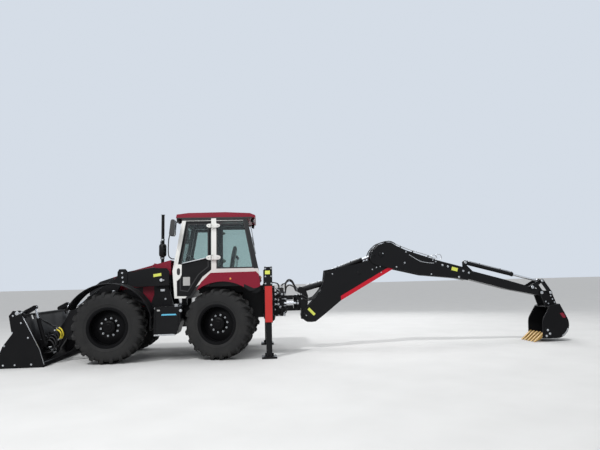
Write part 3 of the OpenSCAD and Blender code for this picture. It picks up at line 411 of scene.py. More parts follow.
# %% Paints
BLACK = (0.0065, 0.0065, 0.0072)
SATIN = {"Specular IOR Level": 0.13, "Coat Weight": 0.03, "Coat Roughness": 0.1}
WHITE = (0.68, 0.68, 0.655)
black = finish("black paint", BLACK, (0.28, 0.45), 90, 0.05, dusty=0.03,
               shader=SATIN)
# The wheels' black is darker and duller than the body's black paint. It is painted shade that keeps
# the rims, sunk in the tyres, dark where their faces turn to the sky.
wheel_black_and_shade = finish("wheel paint", (0.004, 0.004, 0.0045), (0.3, 0.45), 90, 0.05,
                     dusty=0.02, shader={"Specular IOR Level": 0.07})
worked_black = finish("black paint on tools", BLACK, (0.34, 0.55), 60, 0.08,
                      dusty=0.04, dust_top=0.5, worn=0.5, worn_colour=(0.09, 0.09, 0.095, 1),
                      shader={"Specular IOR Level": 0.08})
white = finish("white paint", WHITE, (0.3, 0.42), 120, 0.03, dusty=0.12,
               dust_top=2.0, shader={"Coat Weight": 0.2, "Coat Roughness": 0.1})
red = finish("red plate paint", (0.42, 0.012, 0.009), (0.35, 0.5), 120, 0.03,
             dusty=0.12)
gold = finish("gold tooth paint", (0.38, 0.235, 0.065), (0.35, 0.5), 80, 0.06,
              dusty=0.15, worn=0.5, worn_colour=(0.4, 0.38, 0.35, 1), shader={"Metallic": 0.35})
blue, pale, yellow = [finish(name, colour, rough, 80, 0.02) for name, slot, colour, rough in (
    ("light blue line", "pale_blue_paint", (0.10, 0.42, 0.60), (0.35, 0.5)),
    ("blank label film", "label_film", (0.36, 0.36, 0.35), (0.4, 0.5)),
    ("yellow label film", "label_film", (0.62, 0.66, 0.10), (0.4, 0.5)))]


def burgundy_paint(name, second=None):
    return finish(name, (0.19, 0.008, 0.022), (0.25, 0.36), 120, 0.02,
                  dusty=0.05, dust_top=2.0, second=second,
                  shader={"Specular IOR Level": 0.2, "Coat Weight": 0.08, "Coat Roughness": 0.08})


burgundy = burgundy_paint("burgundy paint")

# %% Metals, rubber and plastics
METAL = {"Metallic": 1.0}
LENS = {"Coat Weight": 1.0, "Coat Roughness": 0.03}
chrome = finish("cylinder rod", (0.72, 0.73, 0.75), (0.08, 0.16), 200, 0.01, shader=METAL)
steel = finish("bare steel", (0.52, 0.53, 0.54), (0.28, 0.45), 120, 0.05,
               shader=METAL)
iron = finish("cast iron", (0.02, 0.0205, 0.022), (0.55, 0.75), 150, 0.35, dusty=0.2,
              shader={"Metallic": 0.2, "Specular IOR Level": 0.3})
tyre_black = finish("tyre rubber", (0.015, 0.015, 0.0154), (0.68, 0.9), 160, 0.25,
                    dusty=0.16, dust_top=1.6, shader={"Specular IOR Level": 0.2})
hose = finish("hose rubber", (0.009, 0.009, 0.01), (0.36, 0.5), 240, 0.2,
              shader={"Specular IOR Level": 0.35})
yellow_hose = finish("yellow hose cover", (0.62, 0.50, 0.03), (0.45, 0.6), 160, 0.1)
plastic = finish("grained plastic", (0.015, 0.015, 0.016), (0.5, 0.65), 420, 0.3)
seal = finish("window rubber", (0.01, 0.01, 0.011), (0.5, 0.65), 200, 0.05)
lamp_red = finish("red lens", (0.35, 0.012, 0.01), (0.12, 0.2), 200, 0.02, shader=LENS)
lamp_amber = finish("amber lens", (0.62, 0.20, 0.01), (0.12, 0.2), 200, 0.02,
                    shader=LENS)
lamp_clear = finish("clear lens", (0.62, 0.64, 0.66), (0.06, 0.12), 60, 0.1,
                    shader={**LENS, "Metallic": 0.6})
mirror = finish("mirror face", (0.75, 0.77, 0.79), (0.02, 0.05), 50, 0.0,
                shader=METAL)
print("finishes:", len(bpy.data.materials))

# %% [markdown]
# ### Glass
# A cab pane lets most light through with a grey-green tint. A path tracer
# would give a real pane a black shadow, so for shadow rays alone the shader is
# swapped for a clear one. The weights of the glass itself stay plain numbers.

# %% Tinted pane
glass = bpy.data.materials.new("tinted glass")
glass.use_nodes = True
glass.diffuse_color = (0.35, 0.45, 0.42, 0.4)
tree = glass.node_tree
pane = tree.nodes["Principled BSDF"]
pane.inputs["Base Color"].default_value = (0.60, 0.71, 0.68, 1)
pane.inputs["Roughness"].default_value = 0.02
pane.inputs["Transmission Weight"].default_value = 1.0
pane.inputs["IOR"].default_value = 1.45
ray = add(tree, "ShaderNodeLightPath")
clear = add(tree, "ShaderNodeBsdfTransparent", {"Color": (0.72, 0.8, 0.78, 1)})
swap = add(tree, "ShaderNodeMixShader", {0: ray.outputs["Is Shadow Ray"],
                                         1: pane.outputs["BSDF"], 2: clear.outputs["BSDF"]})
tree.links.new(swap.outputs[0], tree.nodes["Material Output"].inputs["Surface"])

# %% [markdown]
# ### Woven seat cover
# Threads cross over and under. Two wave patterns at right angles, the taller
# one on top, give that relief at about 3 mm per thread.

# %% Weave group and the fabric
weave, given, result = new_group("weave", {"Threads": 160.0}, ("Height",))
place = coordinates(weave)["Object"]
along, across = [Number(weave, add(
    weave, "ShaderNodeTexWave", {"Vector": place, "Scale": given["Threads"]},
    bands_direction=way).outputs["Fac"]) for way in "XZ"]
join(weave, along | across, result["Height"])

fabric = bpy.data.materials.new("seat fabric")
fabric.use_nodes = True
tree = fabric.node_tree
cover = tree.nodes["Principled BSDF"]
cover.inputs["Roughness"].default_value = 0.9
cover.inputs["Sheen Weight"].default_value = 0.4
threads = add(tree, "ShaderNodeGroup", node_tree=weave).outputs["Height"]
tree.links.new(mix(tree, threads, (0.016, 0.016, 0.018, 1), (0.05, 0.05, 0.056, 1)),
               cover.inputs["Base Color"])
relief = add(tree, "ShaderNodeBump", {"Height": threads, "Strength": 0.4, "Distance": 0.001})
tree.links.new(relief.outputs["Normal"], cover.inputs["Normal"])
print("weave ready")

# %% [markdown]
# ## The finishes on the machine's own solids
# Most nodes keep their shape and only take a material. The cab shell is one
# solid with two paints and a trim: white posts and sill, a black rear post and
# top rail, and a dark lining inside. A mask made from the place on the solid
# sets where one paint stops and the next begins, and where painted shade begins
# on the side panels: & keeps what two masks share, and | joins them.

# %% Cab, bonnet and fender paint boundaries
def cab_black(x, y, z):
    """1 on the rear post, under the roof and inside; 0 on the white posts."""
    rear_post = (x + (z - 1.70) * 0.2101 > at(1758).x) & (z > 1.80)
    inside = abs(y) < 0.742
    rail = (z > 2.826) & (abs(x - at(905).x) > 0.052)
    dx, dz = x - at(AXLE_X).x, z - AXLE_Z / 1000
    arch = dx * dx + dz * dz < 0.93 ** 2
    return rear_post | inside | rail | arch


def outside(x0, x1, below=5.0):
    """1 ahead of x0 and behind x1, drawing millimetres, and under a height; 0 elsewhere."""
    return lambda x, y, z: ((x < at(x0).x) | (x > at(x1).x)) & (z < below)


def fender_black(x, y, z):
    """1 on the black lower tail of a rear fender, under two slanted lines."""
    corner = at(1735, 0, 1388)
    from_corner = x - corner.x
    edge = (from_corner * -0.477 | from_corner * 0.2) + corner.z
    return (z < edge) & (x > at(1540).x)


DARK = (*BLACK, 1)
cab_paint = finish("cab paint", WHITE, (0.3, 0.42), 120, 0.03,
                   shader={"Coat Weight": 0.12, "Coat Roughness": 0.1, "Specular IOR Level": 0.35},
                   second=(cab_black, (0.009, 0.009, 0.0095, 1)))
bonnet_paint = burgundy_paint("bonnet paint", (outside(-1245, -165), DARK))
# The side panels are burgundy all along. The black ahead of -625 mm and behind -395 mm in the
# drawing, under 1.72 m, is painted shade where they lie in shadow behind the arm and its cylinders.
panel_paint_and_shade = burgundy_paint("side panel paint", (outside(-625, -395, 1.72), DARK))
fender_paint = burgundy_paint("fender paint", (fender_black, DARK))

# %% [markdown]
# The boom carries a red stripe along its lower edge. It is painted on the
# plate, so it is a second boundary like the cab's and not a piece of its own.

# %% Stripe on the boom
def boom_stripe(x, y, z):
    """A band along the lower edge of the boom's side plates."""
    low, high = at(3679, 0, 1045), at(4928, 0, 1734)
    slope = (high.z - low.z) / (high.x - low.x)
    over = z - ((x - low.x) * slope + low.z)
    return ((over > -0.03) & (over < 0.112)) & ((x > low.x) & (x < high.x))


boom_paint = finish("boom paint", BLACK, (0.28, 0.45), 90, 0.05, dusty=0.05,
                    shader=SATIN, second=(boom_stripe, (0.46, 0.012, 0.026, 1)))

# %% Give every node its material
FINISHES = {
    "roof": burgundy, "rear_fenders": fender_paint, "bonnet": bonnet_paint,
    "engine_panels": panel_paint_and_shade, "cab_frame": cab_paint, "boom": boom_paint, "console": plastic,
    "cab_glass door_glass_left door_glass_right": glass,
    "front_bucket bucket_jaw rear_bucket": worked_black,
    "lift_rods tilt_rods jaw_rods swing_rod_left swing_rod_right": chrome,
    "boom_rod dipper_rod curl_rod": chrome,
    "engine_block knuckle_front_left knuckle_front_right": iron,
    "knuckle_rear_left knuckle_rear_right": iron,
    "rim_front_left rim_front_right rim_rear_left rim_rear_right": wheel_black_and_shade,
}
finish_of = {n: m for names, m in FINISHES.items() for n in names.split()}
for name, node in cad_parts.items():
    node.data.materials.clear()
    node.data.materials.append(finish_of.get(name, black))
    node.data.shade_smooth()
    node.data.set_sharp_from_angle(angle=math.radians(30))
print("painted nodes:", len(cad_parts))

# %% [markdown]
# ## Tyres
# An industrial tyre is a round carcass with bars that start at the middle, lean
# back and wrap over the shoulder. The plain CAD tyre is the outer shape, so the
# carcass here is smaller and the bars reach out to that shape. Both sides of
# the tread are the same bar, shifted by half a pitch.

# %% Carcass profile and one bar
RIM_R = 0.3555
CARCASS = [(-0.185, RIM_R), (-0.197, 0.381), (-0.199, 0.384), (-0.207, 0.41), (-0.2155, 0.45),
           (-0.219, 0.452), (-0.219, 0.46), (-0.2165, 0.462), (-0.2185, 0.50), (-0.219, 0.55),
           (-0.216, 0.59), (-0.206, 0.622), (-0.186, 0.642), (-0.15, 0.653), (-0.08, 0.659)]
BAR = [  # across the tread, radius of the top and of the foot, lean in degrees, half widths
    (0.008, 0.700, 0.650, 0.0, 0.023, 0.031), (0.060, 0.700, 0.650, 2.2, 0.025, 0.034),
    (0.115, 0.699, 0.648, 4.4, 0.027, 0.036), (0.160, 0.694, 0.644, 6.1, 0.029, 0.038),
    (0.192, 0.682, 0.628, 7.4, 0.030, 0.039), (0.211, 0.658, 0.606, 8.2, 0.030, 0.038),
    (0.219, 0.622, 0.586, 8.6, 0.028, 0.035), (0.220, 0.592, 0.580, 8.7, 0.022, 0.030)]
BARS = 22


def tyre_shape():
    profile = CARCASS + [(-h, r) for h, r in reversed(CARCASS)]
    shapes = [lathe(Vector(), UP, profile, 88, ring=True)]
    for side in (-1, 1):
        for k in range(BARS):
            start = 360 * (k + (0.5 if side > 0 else 0)) / BARS
            verts = []
            for h, top, foot, lean, wide, base in BAR:
                a = math.radians(start + lean)
                out = Vector((math.cos(a), math.sin(a), 0))
                along = Vector((-math.sin(a), math.cos(a), 0))
                inner = max(0.0, h - (0.024 if h > 0.2 else 0.004))
                for r, w, z in ((foot, -base, inner), (top, -wide, h),
                                (top, wide, h), (foot, base, inner)):
                    verts.append(out * r + along * w + Vector((0, 0, side * z)))
            shapes.append((verts, walls(len(BAR), 4) + ends(len(BAR), 4)))
    return shapes


def moved(shapes, matrix):
    return [([matrix @ v for v in verts], faces) for verts, faces in shapes]


def hub_place(end, side):
    """From a wheel's own axis, +Z outwards, to its place on the machine."""
    x, turn = (-AXLE_X, 0) if end == "front" else (AXLE_X, -REAR_STEER)
    return (Matrix.Translation(at(x, side * 780, AXLE_Z))
            @ Matrix.Rotation(math.radians(turn), 4, "Z")
            @ Matrix.Translation((0, side * 0.2, 0))
            @ Matrix.Rotation(math.radians(-90 * side), 4, "X"))


WHEELS = [(f"{end}_{name}", hub_place(end, side)) for end in ("front", "rear")
          for name, side in (("left", -1), ("right", 1))]
for wheel, place in WHEELS:
    made = piece("tread_" + wheel, "wheel_" + wheel, tyre_black, moved(tyre_shape(), place),
                 bevel=0.004, smooth=40, replaces=["tyre_" + wheel])
print("tyre faces:", len(made.data.polygons))

# %% [markdown]
# ## Rims
# Ten bright wheel nuts stand on a ring on the black disc, with the hub cap
# bolted in the middle and a valve near the edge of the rim.

# %% Nuts, cap screws and valve
def hex_bolt(base, axis, across, high, washer=True):
    """A hexagon head on a washer, with a small chamfer."""
    r = across / 2 / math.cos(math.pi / 6)
    shapes = [lathe(base, axis, [(0.0, r), (high * 0.85, r), (high, r * 0.84)], 6)]
    if washer:
        shapes.append(lathe(base, axis, [(-0.001, r * 1.35), (high * 0.16, r * 1.35)], 18))
    return shapes


def nut(base, axis, across, high, stud):
    return hex_bolt(base, axis, across, high) + [
        lathe(base, axis, [(0, stud / 2), (high * 1.7, stud / 2), (high * 1.8, stud * 0.38)], 12)]


def bolts(places, y, across, high, washer=True):
    """Bolt heads that point left, at (x, z) places on one face."""
    return [s for x, z in places for s in hex_bolt(at(x, y, z), LEFT, across, high, washer)]


def on_wheel(r, degrees, out):
    a = math.radians(degrees)
    return Vector((r * math.cos(a), r * math.sin(a), out))


RIM_FLANGE = [(0.196, 0.352), (0.2045, 0.356), (0.2075, 0.372), (0.2075, 0.392), (0.203, 0.402),
              (0.196, 0.404)]
nuts, caps = [], []
for k in range(10):
    nuts += nut(on_wheel(0.17, 36 * k + 9, 0.045), UP, 0.025, 0.018, 0.014)
for k in range(12):
    caps += hex_bolt(on_wheel(0.108, 30 * k, 0.1225), UP, 0.014, 0.008, washer=False)
caps.append(lathe(Vector((0, 0, 0.129)), UP, [(0, 0.062), (0.008, 0.06), (0.012, 0.052)], 32))
caps += hex_bolt(Vector((0, 0.03, 0.14)), UP, 0.02, 0.01)
valve = sweep(smooth_path([Vector(p) for p in (
    (0.318, 0, 0.01), (0.31, 0, 0.04), (0.316, 0, 0.075))]), 0.004, 8)
flange = lathe(Vector(), UP, RIM_FLANGE, 96, ring=True)
for wheel, place in WHEELS:
    for name, material, shapes, smooth in (
            ("wheel_nuts_", steel, nuts + [valve], 25),
            ("hub_cap_", wheel_black_and_shade, caps, 25), ("rim_flange_", wheel_black_and_shade, [flange], 40)):
        piece(name + wheel, "wheel_" + wheel, material, moved(shapes, place), smooth=smooth)
print("wheels done")

# %% [markdown]
# ## Windows
# Each pane sits in a black rubber profile. Its shape follows the opening, a
# little proud of the sheet, so the same outline is drawn twice: once as it is
# and once drawn in by the width of the rubber.

# %% A rubber frame around an outline
def inset(points, d):
    """Moves each side of a convex outline inwards by d."""
    n, area = len(points), 0
    for (x0, z0), (x1, z1) in zip(points, points[1:] + points[:1]):
        area += x0 * z1 - x1 * z0
    turn = 1 if area > 0 else -1
    out = []
    for i in range(n):
        (ax, az), (bx, bz), (cx, cz) = points[i - 1], points[i], points[(i + 1) % n]
        u = Vector((bx - ax, bz - az)).normalized()
        v = Vector((cx - bx, cz - bz)).normalized()
        nu, nv = Vector((-u.y, u.x)) * turn, Vector((-v.y, v.x)) * turn
        m = (nu + nv).normalized()
        out.append((bx + m.x * d / max(0.3, m.dot(nu)), bz + m.y * d / max(0.3, m.dot(nu))))
    return out


def ring_plate(outline, width, y0, y1):
    """A closed frame of the given width, between two planes across the machine."""
    inner = inset(outline, width)
    n = len(outline)
    verts = [at(x, y, z) for y in (y0, y1) for ring in (outline, inner) for x, z in ring]
    faces = []
    for i in range(n):
        j = (i + 1) % n
        faces += [(i, j, n + j, n + i), (2 * n + j, 2 * n + i, 3 * n + i, 3 * n + j),
                  (j, i, 2 * n + i, 2 * n + j), (n + i, n + j, 3 * n + j, 3 * n + i)]
    return verts, faces


SIDE_WINDOW = [(960, 1810), (1737, 1810), (1546, 2820), (960, 2820)]
DOOR_WINDOW = [(205, 1820), (210, 1370), (380, 1340), (600, 1690), (800, 1850), (800, 2760),
               (370, 2760)]
LOWER_PANEL = [(207, 1820), (212, 1373), (379, 1344), (599, 1692), (799, 1852), (799, 2046),
               (226, 1926)]
piece("side_window_rubber", "chassis", seal, both([ring_plate(SIDE_WINDOW, 26, -773, -744)]),
      bevel=0.003)
pair("door_window_rubber", "door", seal, [ring_plate(DOOR_WINDOW, 22, -771, -736)], bevel=0.003)
pair("door_lower_panel", "door", black, [side_plate(LOWER_PANEL, -769, -766)])
pair("door_sticker", "door", pale, [block(276, 418, -770.2, -769, 1474, 1650)])
print("rubber frames done")

# %% [markdown]
# ## Cab trim
# On the left and right the white door post carries two oval hinge covers, each
# held by two screws. Each cover is split where the door turns. A thin rail
# runs across the door below its glass, and a pale latch plate with a dark pull
# recess sits at the door's front edge.

# %% Oval covers, latch plate and door rail
def oval(cx, cz, half_x, half_z, n=40, power=2.6):
    """A rounded outline in the side view."""
    points = []
    for k in range(n):
        a = 2 * math.pi * k / n
        c, s = math.cos(a), math.sin(a)
        points.append((cx + half_x * math.copysign(abs(c) ** (2 / power), c),
                       cz + half_z * math.copysign(abs(s) ** (2 / power), s)))
    return points


def clipped(points, cut, keep):
    """The part of an outline below (keep -1) or above (keep 1) x = cut."""
    out = []
    for (x0, z0), (x1, z1) in zip(points, points[1:] + points[:1]):
        if (x0 - cut) * keep >= 0:
            out.append((x0, z0))
        if (x0 - cut) * (x1 - cut) < 0:
            out.append((cut, z0 + (cut - x0) / (x1 - x0) * (z1 - z0)))
    return out


HINGE_X, HINGE_Y = 880, -792
covers, leaves, post_screws, door_screws = [], [], [], []
for cz, half_x, half_z in ((2712, 140, 46), (2040, 150, 54)):
    outlines = ((oval(900, cz, half_x, half_z), -812, -800),
                (oval(900, cz, half_x - 34, half_z - 12), -820, -812))
    for cut, keep, half in ((HINGE_X + 22, 1, covers), (HINGE_X - 30, -1, leaves)):
        half += [side_plate(clipped(points, cut, keep), y0, y1) for points, y0, y1 in outlines]
    covers.append(rod(at(HINGE_X, HINGE_Y, cz - half_z * 0.9),
                      at(HINGE_X, HINGE_Y, cz + half_z * 0.9), 0.021, 24))
    leaves.append(block(775, 845, -800, -769, cz - 24, cz + 24))
    post_screws += bolts([(HINGE_X + 115, cz)], -812, 0.02, 0.008)
    door_screws += bolts([(HINGE_X - 75, cz)], -812, 0.02, 0.008)
piece("hinge_covers", "chassis", white, both(covers), bevel=0.003)
piece("hinge_cover_screws", "chassis", steel, both(post_screws), smooth=25)
pair("hinge_leaves", "door", white, leaves, bevel=0.003)
pair("hinge_leaf_screws", "door", steel, door_screws, smooth=25)

LATCH = [(128, 1919), (250, 1908), (248, 1700), (218, 1630), (160, 1575), (134, 1575)]
pair("door_latch_plate", "door", white, [side_plate(LATCH, -778, -770)], bevel=0.002)
pair("door_pull", "door", seal, [side_plate(oval(184, 1765, 34, 72), -783, -777)], bevel=0.002)
pair("door_rail", "door", steel, [tube([(262, -772, 1930), (280, -806, 1935), (500, -812, 1982),
                                        (735, -806, 2030), (752, -775, 2034)], 0.009)])
print("door trim done")

# %% [markdown]
# A rain gutter under the roof, a black post strip along the windscreen, four
# work lamps in front and two behind, wipers, and two mirrors on bent arms
# complete the outside of the cab.

# %% Work lamps
def lamp(centre, axis, r, deep):
    """A round lamp: its housing and its lens, as two lists."""
    base = centre - Vector(axis).normalized() * deep
    body = [lathe(base, axis, [(0, r * 0.45), (deep * 0.3, r * 0.9), (deep * 0.92, r * 1.02),
                               (deep, r * 1.02), (deep, r * 0.9), (deep * 0.9, r * 0.88)], 28)]
    lens = [lathe(base, axis, [(deep * 0.85, r * 0.9), (deep * 0.96, r * 0.9),
                               (deep * 1.01, r * 0.6)], 28)]
    return body, lens


bodies, lenses = [], []
for x, stem_x, z, ways, aim in ((118, 160, 2868, (-600, -360, 360, 600), (-1, 0, -0.12)),
                                (1752, 1712, 2838, (-560, 560), (1, 0, -0.2))):
    for y in ways:
        body, lens = lamp(at(x, y, z), aim, 0.052, 0.07)
        bodies += body + [rod(at(stem_x, y, z), at(stem_x, y, 2895), 0.008)]
        lenses += lens
piece("cab_lamp_housings", "chassis", plastic, bodies)
piece("cab_lamp_lenses", "chassis", lamp_clear, lenses)

# %% Gutter, windscreen strips and wipers
gutter = [side_plate([(150, 2872), (150, 2893), (1720, 2893), (1725, 2872)], -777, -752)]
piece("roof_gutter", "chassis", seal, both(gutter), bevel=0.004)


def pane_rubber(name, half, upright, bars):
    """Rubber around a pane that faces along the machine: two uprights, then cross bars."""
    shapes = [side_plate(upright, s * half, s * (half + 28)) for s in (-1, 1)]
    shapes += [side_plate(bar, -half, half) for bar in bars]
    piece(name, "chassis", seal, shapes, bevel=0.003)


pane_rubber("windscreen_rubber", 690, [(66, 1850), (90, 1850), (262, 2815), (238, 2815)],
            ([(66, 1836), (90, 1836), (92, 1862), (68, 1862)],
             [(230, 2796), (256, 2796), (262, 2824), (236, 2824)]))
pane_rubber("rear_window_rubber", 680, [(1812, 1790), (1838, 1790), (1622, 2815), (1596, 2815)],
            ([(1812, 1776), (1842, 1776), (1836, 1804), (1808, 1804)],
             [(1602, 2794), (1630, 2794), (1622, 2824), (1596, 2824)]))


def wiper(pivot, tip, blade_half, out):
    """An arm from its pivot to a blade that lies on the glass."""
    d = (tip - pivot).normalized()
    lift = Vector(out).normalized() * 0.02
    side = d.cross(lift).normalized()
    arm = sweep([pivot + lift, pivot + d * 0.1 + lift * 1.6, tip + lift], 0.006, 8)
    blade = sweep([tip - d * blade_half + lift * 0.4, tip + d * blade_half + lift * 0.4], 0.007, 8)
    cap = lathe(pivot, out, [(0, 0.02), (0.024, 0.018), (0.028, 0.01)], 20)
    return [arm, blade, cap, sweep([tip + lift, tip + lift * 0.4], 0.006, 8)]


piece("wipers", "chassis", plastic,
      wiper(at(66, 40, 1870), at(150, -190, 2350), 0.24, (-1, 0, 0.18))
      + wiper(at(1640, 60, 2790), at(1730, -150, 2330), 0.22, (1, 0, 0.2)))
print("glass trim done")

# %% Mirrors
arms = [tube([(92, -772, 2030), (40, -830, 2040), (0, -900, 2120), (15, -960, 2420),
              (70, -1000, 2600), (100, -1000, 2820)], 0.011),
        tube([(215, -772, 2760), (150, -860, 2790), (90, -985, 2780)], 0.009)]
HOUSING = [(48, 2490), (128, 2482), (150, 2520), (160, 2780), (148, 2815), (88, 2822), (70, 2790),
           (40, 2530)]
MIRROR_FACE = [(136, 2500), (150, 2506), (166, 2790), (154, 2800)]
piece("mirror_arms", "chassis", seal, both(arms))
piece("mirror_housings", "chassis", plastic, both([side_plate(HOUSING, -1090, -905)]), bevel=0.012)
piece("mirror_faces", "chassis", mirror, both([side_plate(MIRROR_FACE, -1078, -918)]), bevel=0.003)
print("mirrors done")

# %% [markdown]
# ## Seat
# A driver's seat is a stuffed cushion and a tall back over foam. Each pad starts
# as a fine block, is crowned by moving its points, takes two sewn channels, and
# gets one level of subdivision.

# %% Crowned pads
DECK = 1480
SEAT_X = 980


def pad(name, centre, size, tilt, crown):
    """A stuffed pad: a fine block whose faces swell and whose corners draw in."""
    nx, ny, nz = 18, 18, 6
    half = Vector(size) / 2000
    verts, index, faces = [], {}, []
    turn = Matrix.Rotation(math.radians(tilt), 3, "Y")

    def point(i, j, k):
        key = (i, j, k)
        if key not in index:
            u, v, w = 2 * i / nx - 1, 2 * j / ny - 1, 2 * k / nz - 1
            soft = (1 - abs(u) ** 4) * (1 - abs(v) ** 4)
            x = half.x * u * (1 - 0.05 * v * v - 0.04 * w * w)
            y = half.y * v * (1 - 0.05 * u * u - 0.04 * w * w)
            z = half.z * w * (0.72 + 0.28 * soft) + (crown / 1000 * soft if w > 0 else 0)
            for at_v in (-0.55, 0.55):
                z -= 0.009 * math.exp(-((v - at_v) / 0.05) ** 2) * max(0, w)
            index[key] = len(verts)
            verts.append(centre + turn @ Vector((x, y, z)))
        return index[key]

    def quad(a, b, c, d):
        faces.append((point(*a), point(*b), point(*c), point(*d)))

    for i in range(nx):
        for j in range(ny):
            quad((i, j, nz), (i + 1, j, nz), (i + 1, j + 1, nz), (i, j + 1, nz))
            quad((i, j, 0), (i, j + 1, 0), (i + 1, j + 1, 0), (i + 1, j, 0))
    for i in range(nx):
        for k in range(nz):
            quad((i, 0, k), (i + 1, 0, k), (i + 1, 0, k + 1), (i, 0, k + 1))
            quad((i, ny, k), (i, ny, k + 1), (i + 1, ny, k + 1), (i + 1, ny, k))
    for j in range(ny):
        for k in range(nz):
            quad((0, j, k), (0, j, k + 1), (0, j + 1, k + 1), (0, j + 1, k))
            quad((nx, j, k), (nx, j + 1, k), (nx, j + 1, k + 1), (nx, j, k + 1))
    made = piece(name, "chassis", fabric, [(verts, faces)], smooth=70)
    made.modifiers.new("soft", "SUBSURF").render_levels = 1


base = [block(SEAT_X - 170, SEAT_X + 170, -200, 200, DECK, DECK + 40)]
bellows = [lathe(at(SEAT_X, 0, DECK + 38), UP,
                 [(0.02 * i, 0.17 - 0.018 * (i % 2)) for i in range(8)], 32)]
tray = [block(SEAT_X - 235, SEAT_X + 235, -232, 232, DECK + 175, DECK + 195)]
piece("seat_base", "chassis", plastic, base + bellows + tray, bevel=0.004, replaces=["seat"])
pad("seat_cushion", at(SEAT_X - 10, 0, DECK + 238), (484, 488, 84), 0, 14)
pad("seat_back", at(SEAT_X + 296, 0, DECK + 575), (560, 466, 86), -80, 12)
print("seat done")

# %% [markdown]
# Inside the cab the levers' stands beside and behind the seat and a gauge
# cluster are what shows through the glass.

# %% Levers and gauges
knobs, sticks = [], []
for y, x, top in ((-330, 900, 2080), (330, 900, 2080), (-290, 1330, 2060), (-250, 1330, 2060),
                  (250, 1330, 2060), (290, 1330, 2060)):
    sticks.append(tube([(x, y, DECK), (x + 6, y, 1800), (x + 30, y, top)], 0.007, 8))
    knobs.append(lathe(at(x + 30, y, top - 20), (0.1, 0, 1), [
        (0, 0.012), (0.015, 0.022), (0.04, 0.025), (0.06, 0.016), (0.066, 0.006)], 20))
boxes = [side_plate([(820, DECK), (1010, DECK), (1000, 1890), (850, 1890)], y0, y1)
         for y0, y1 in ((-372, -292), (292, 372))]
boxes += [side_plate([(1265, DECK), (1400, DECK), (1385, 1800), (1285, 1800)], -330, 330)]
piece("lever_stands", "chassis", plastic, boxes, bevel=0.012)
piece("lever_rods", "chassis", steel, sticks)
piece("lever_knobs", "chassis", seal, knobs)
piece("gauge_cluster", "chassis", plastic,
      [side_plate([(200, 1898), (330, 1898), (300, 1985), (215, 1990)], -210, 210)], bevel=0.012)
piece("sun_visor", "chassis", seal,
      [side_plate([(300, 2800), (312, 2800), (352, 2868), (338, 2868)], -560, 560)], bevel=0.003)
print("interior done")

# %% [markdown]
# ## Fenders, bonnet and side tank
# The front fenders end in a rolled lip. The bonnet has a slatted grille, side
# vents and head lamps, and the side tank carries a tread plate, a pale blue
# line and a filler cap.

# %% Rolled lips on the fenders
def fender_arc(r, a0, a1, y, n=28):
    """An arc about the front axle, from a0 to a1 degrees."""
    turns = [math.radians(a0 + (a1 - a0) * i / n) for i in range(n + 1)]
    return [at(-AXLE_X + r * math.cos(a), y, AXLE_Z + r * math.sin(a)) for a in turns]


lips = [sweep(fender_arc(848, 18, 148, -y), 0.011, 8) for y in (762, 1198)]
piece("front_fender_lips", "chassis", black, both(lips), smooth=60)
flaps = [slab([(-292, -1190, 940), (-292, -772, 940), (-292, -772, 620), (-292, -1190, 620)],
              (8, 0, 0))]
piece("mud_flaps", "chassis", hose, both(flaps), bevel=0.002)

# %% Rear fender edge and lamps
tail = [side_plate([(1858, 1500), (1880, 1500), (1872, 1640), (1850, 1640)], -1180, -1070)]
piece("tail_lamp_housings", "chassis", plastic, both(tail), bevel=0.006)
for name, material, z in (("tail_lamps_red", lamp_red, 1540),
                          ("tail_lamps_amber", lamp_amber, 1600)):
    piece(name, "chassis", material, both([lathe(at(1866, -1125, z), (1, 0, 0.12), [
        (0, 0.024), (0.022, 0.024), (0.03, 0.016)], 24)]))
APRON = [(1700, 1300), (1800, 1294), (1874, 1345), (1868, 1440), (1740, 1345)]
SIDE_PANEL = [(560, 1300), (1500, 1300), (1500, 760), (1936, 760), (1936, 1439), (560, 1439)]
for name, outline, y0, y1 in (("fender_aprons", APRON, -1178, -1170),
                              ("frame_side_panels", SIDE_PANEL, -412, -400)):
    piece(name, "chassis", black, both([side_plate(outline, y0, y1)]), bevel=0.002)
piece("fender_marker_lamps", "chassis", lamp_amber,
      both([lathe(at(1275, -1199, 1590), LEFT, [(0, 0.02), (0.008, 0.019), (0.012, 0.01)], 20)]))

# %% Bonnet grille, vents and head lamps
slats = [side_plate([(-1748, z), (-1732, z + 4), (-1732, z + 12), (-1748, z + 8)], -250, 250)
         for z in range(1100, 1420, 20)]
bars = [block(-1746, -1729, y, y + 16, 1080, 1425) for y in (-266, -8, 250)]
bars += [block(-1746, -1729, -266, 266, z, z + 12) for z in (1076, 1418)]
piece("nose_grille", "chassis", black, bars + slats[:11], bevel=0.001)
piece("nose_grille_lid", "bonnet", black, slats[11:], bevel=0.001)
bodies, lenses = [], []
for y in (-240, 240):
    body, lens = lamp(at(-1752, y, 1230), FORWARD, 0.07, 0.05)
    bodies += body
    lenses += lens
piece("head_lamp_housings", "chassis", plastic, bodies)
piece("head_lamp_lenses", "chassis", lamp_clear, lenses)
vents = [slab([(x, -345, 1500), (x + 34, -345, 1500), (x + 34, -352, 1500), (x + 4, -354, 1500)],
              (50, 0, 170)) for x in range(-1180, -684, 62)]
piece("bonnet_vents", "bonnet", black, both(vents), bevel=0.001)
latch = [lathe(at(-1290, -345, 1430), LEFT, [(0, 0.022), (0.008, 0.022), (0.014, 0.016)], 24)]
piece("bonnet_latches", "bonnet", steel, both(latch))
print("bonnet done")

# %% Exhaust: jacket, clamps, outlet flap and guard
PIPE_X, PIPE_Y = -310, 90


def on_pipe(dx, dy, z):
    return PIPE_X + dx, PIPE_Y + dy, z


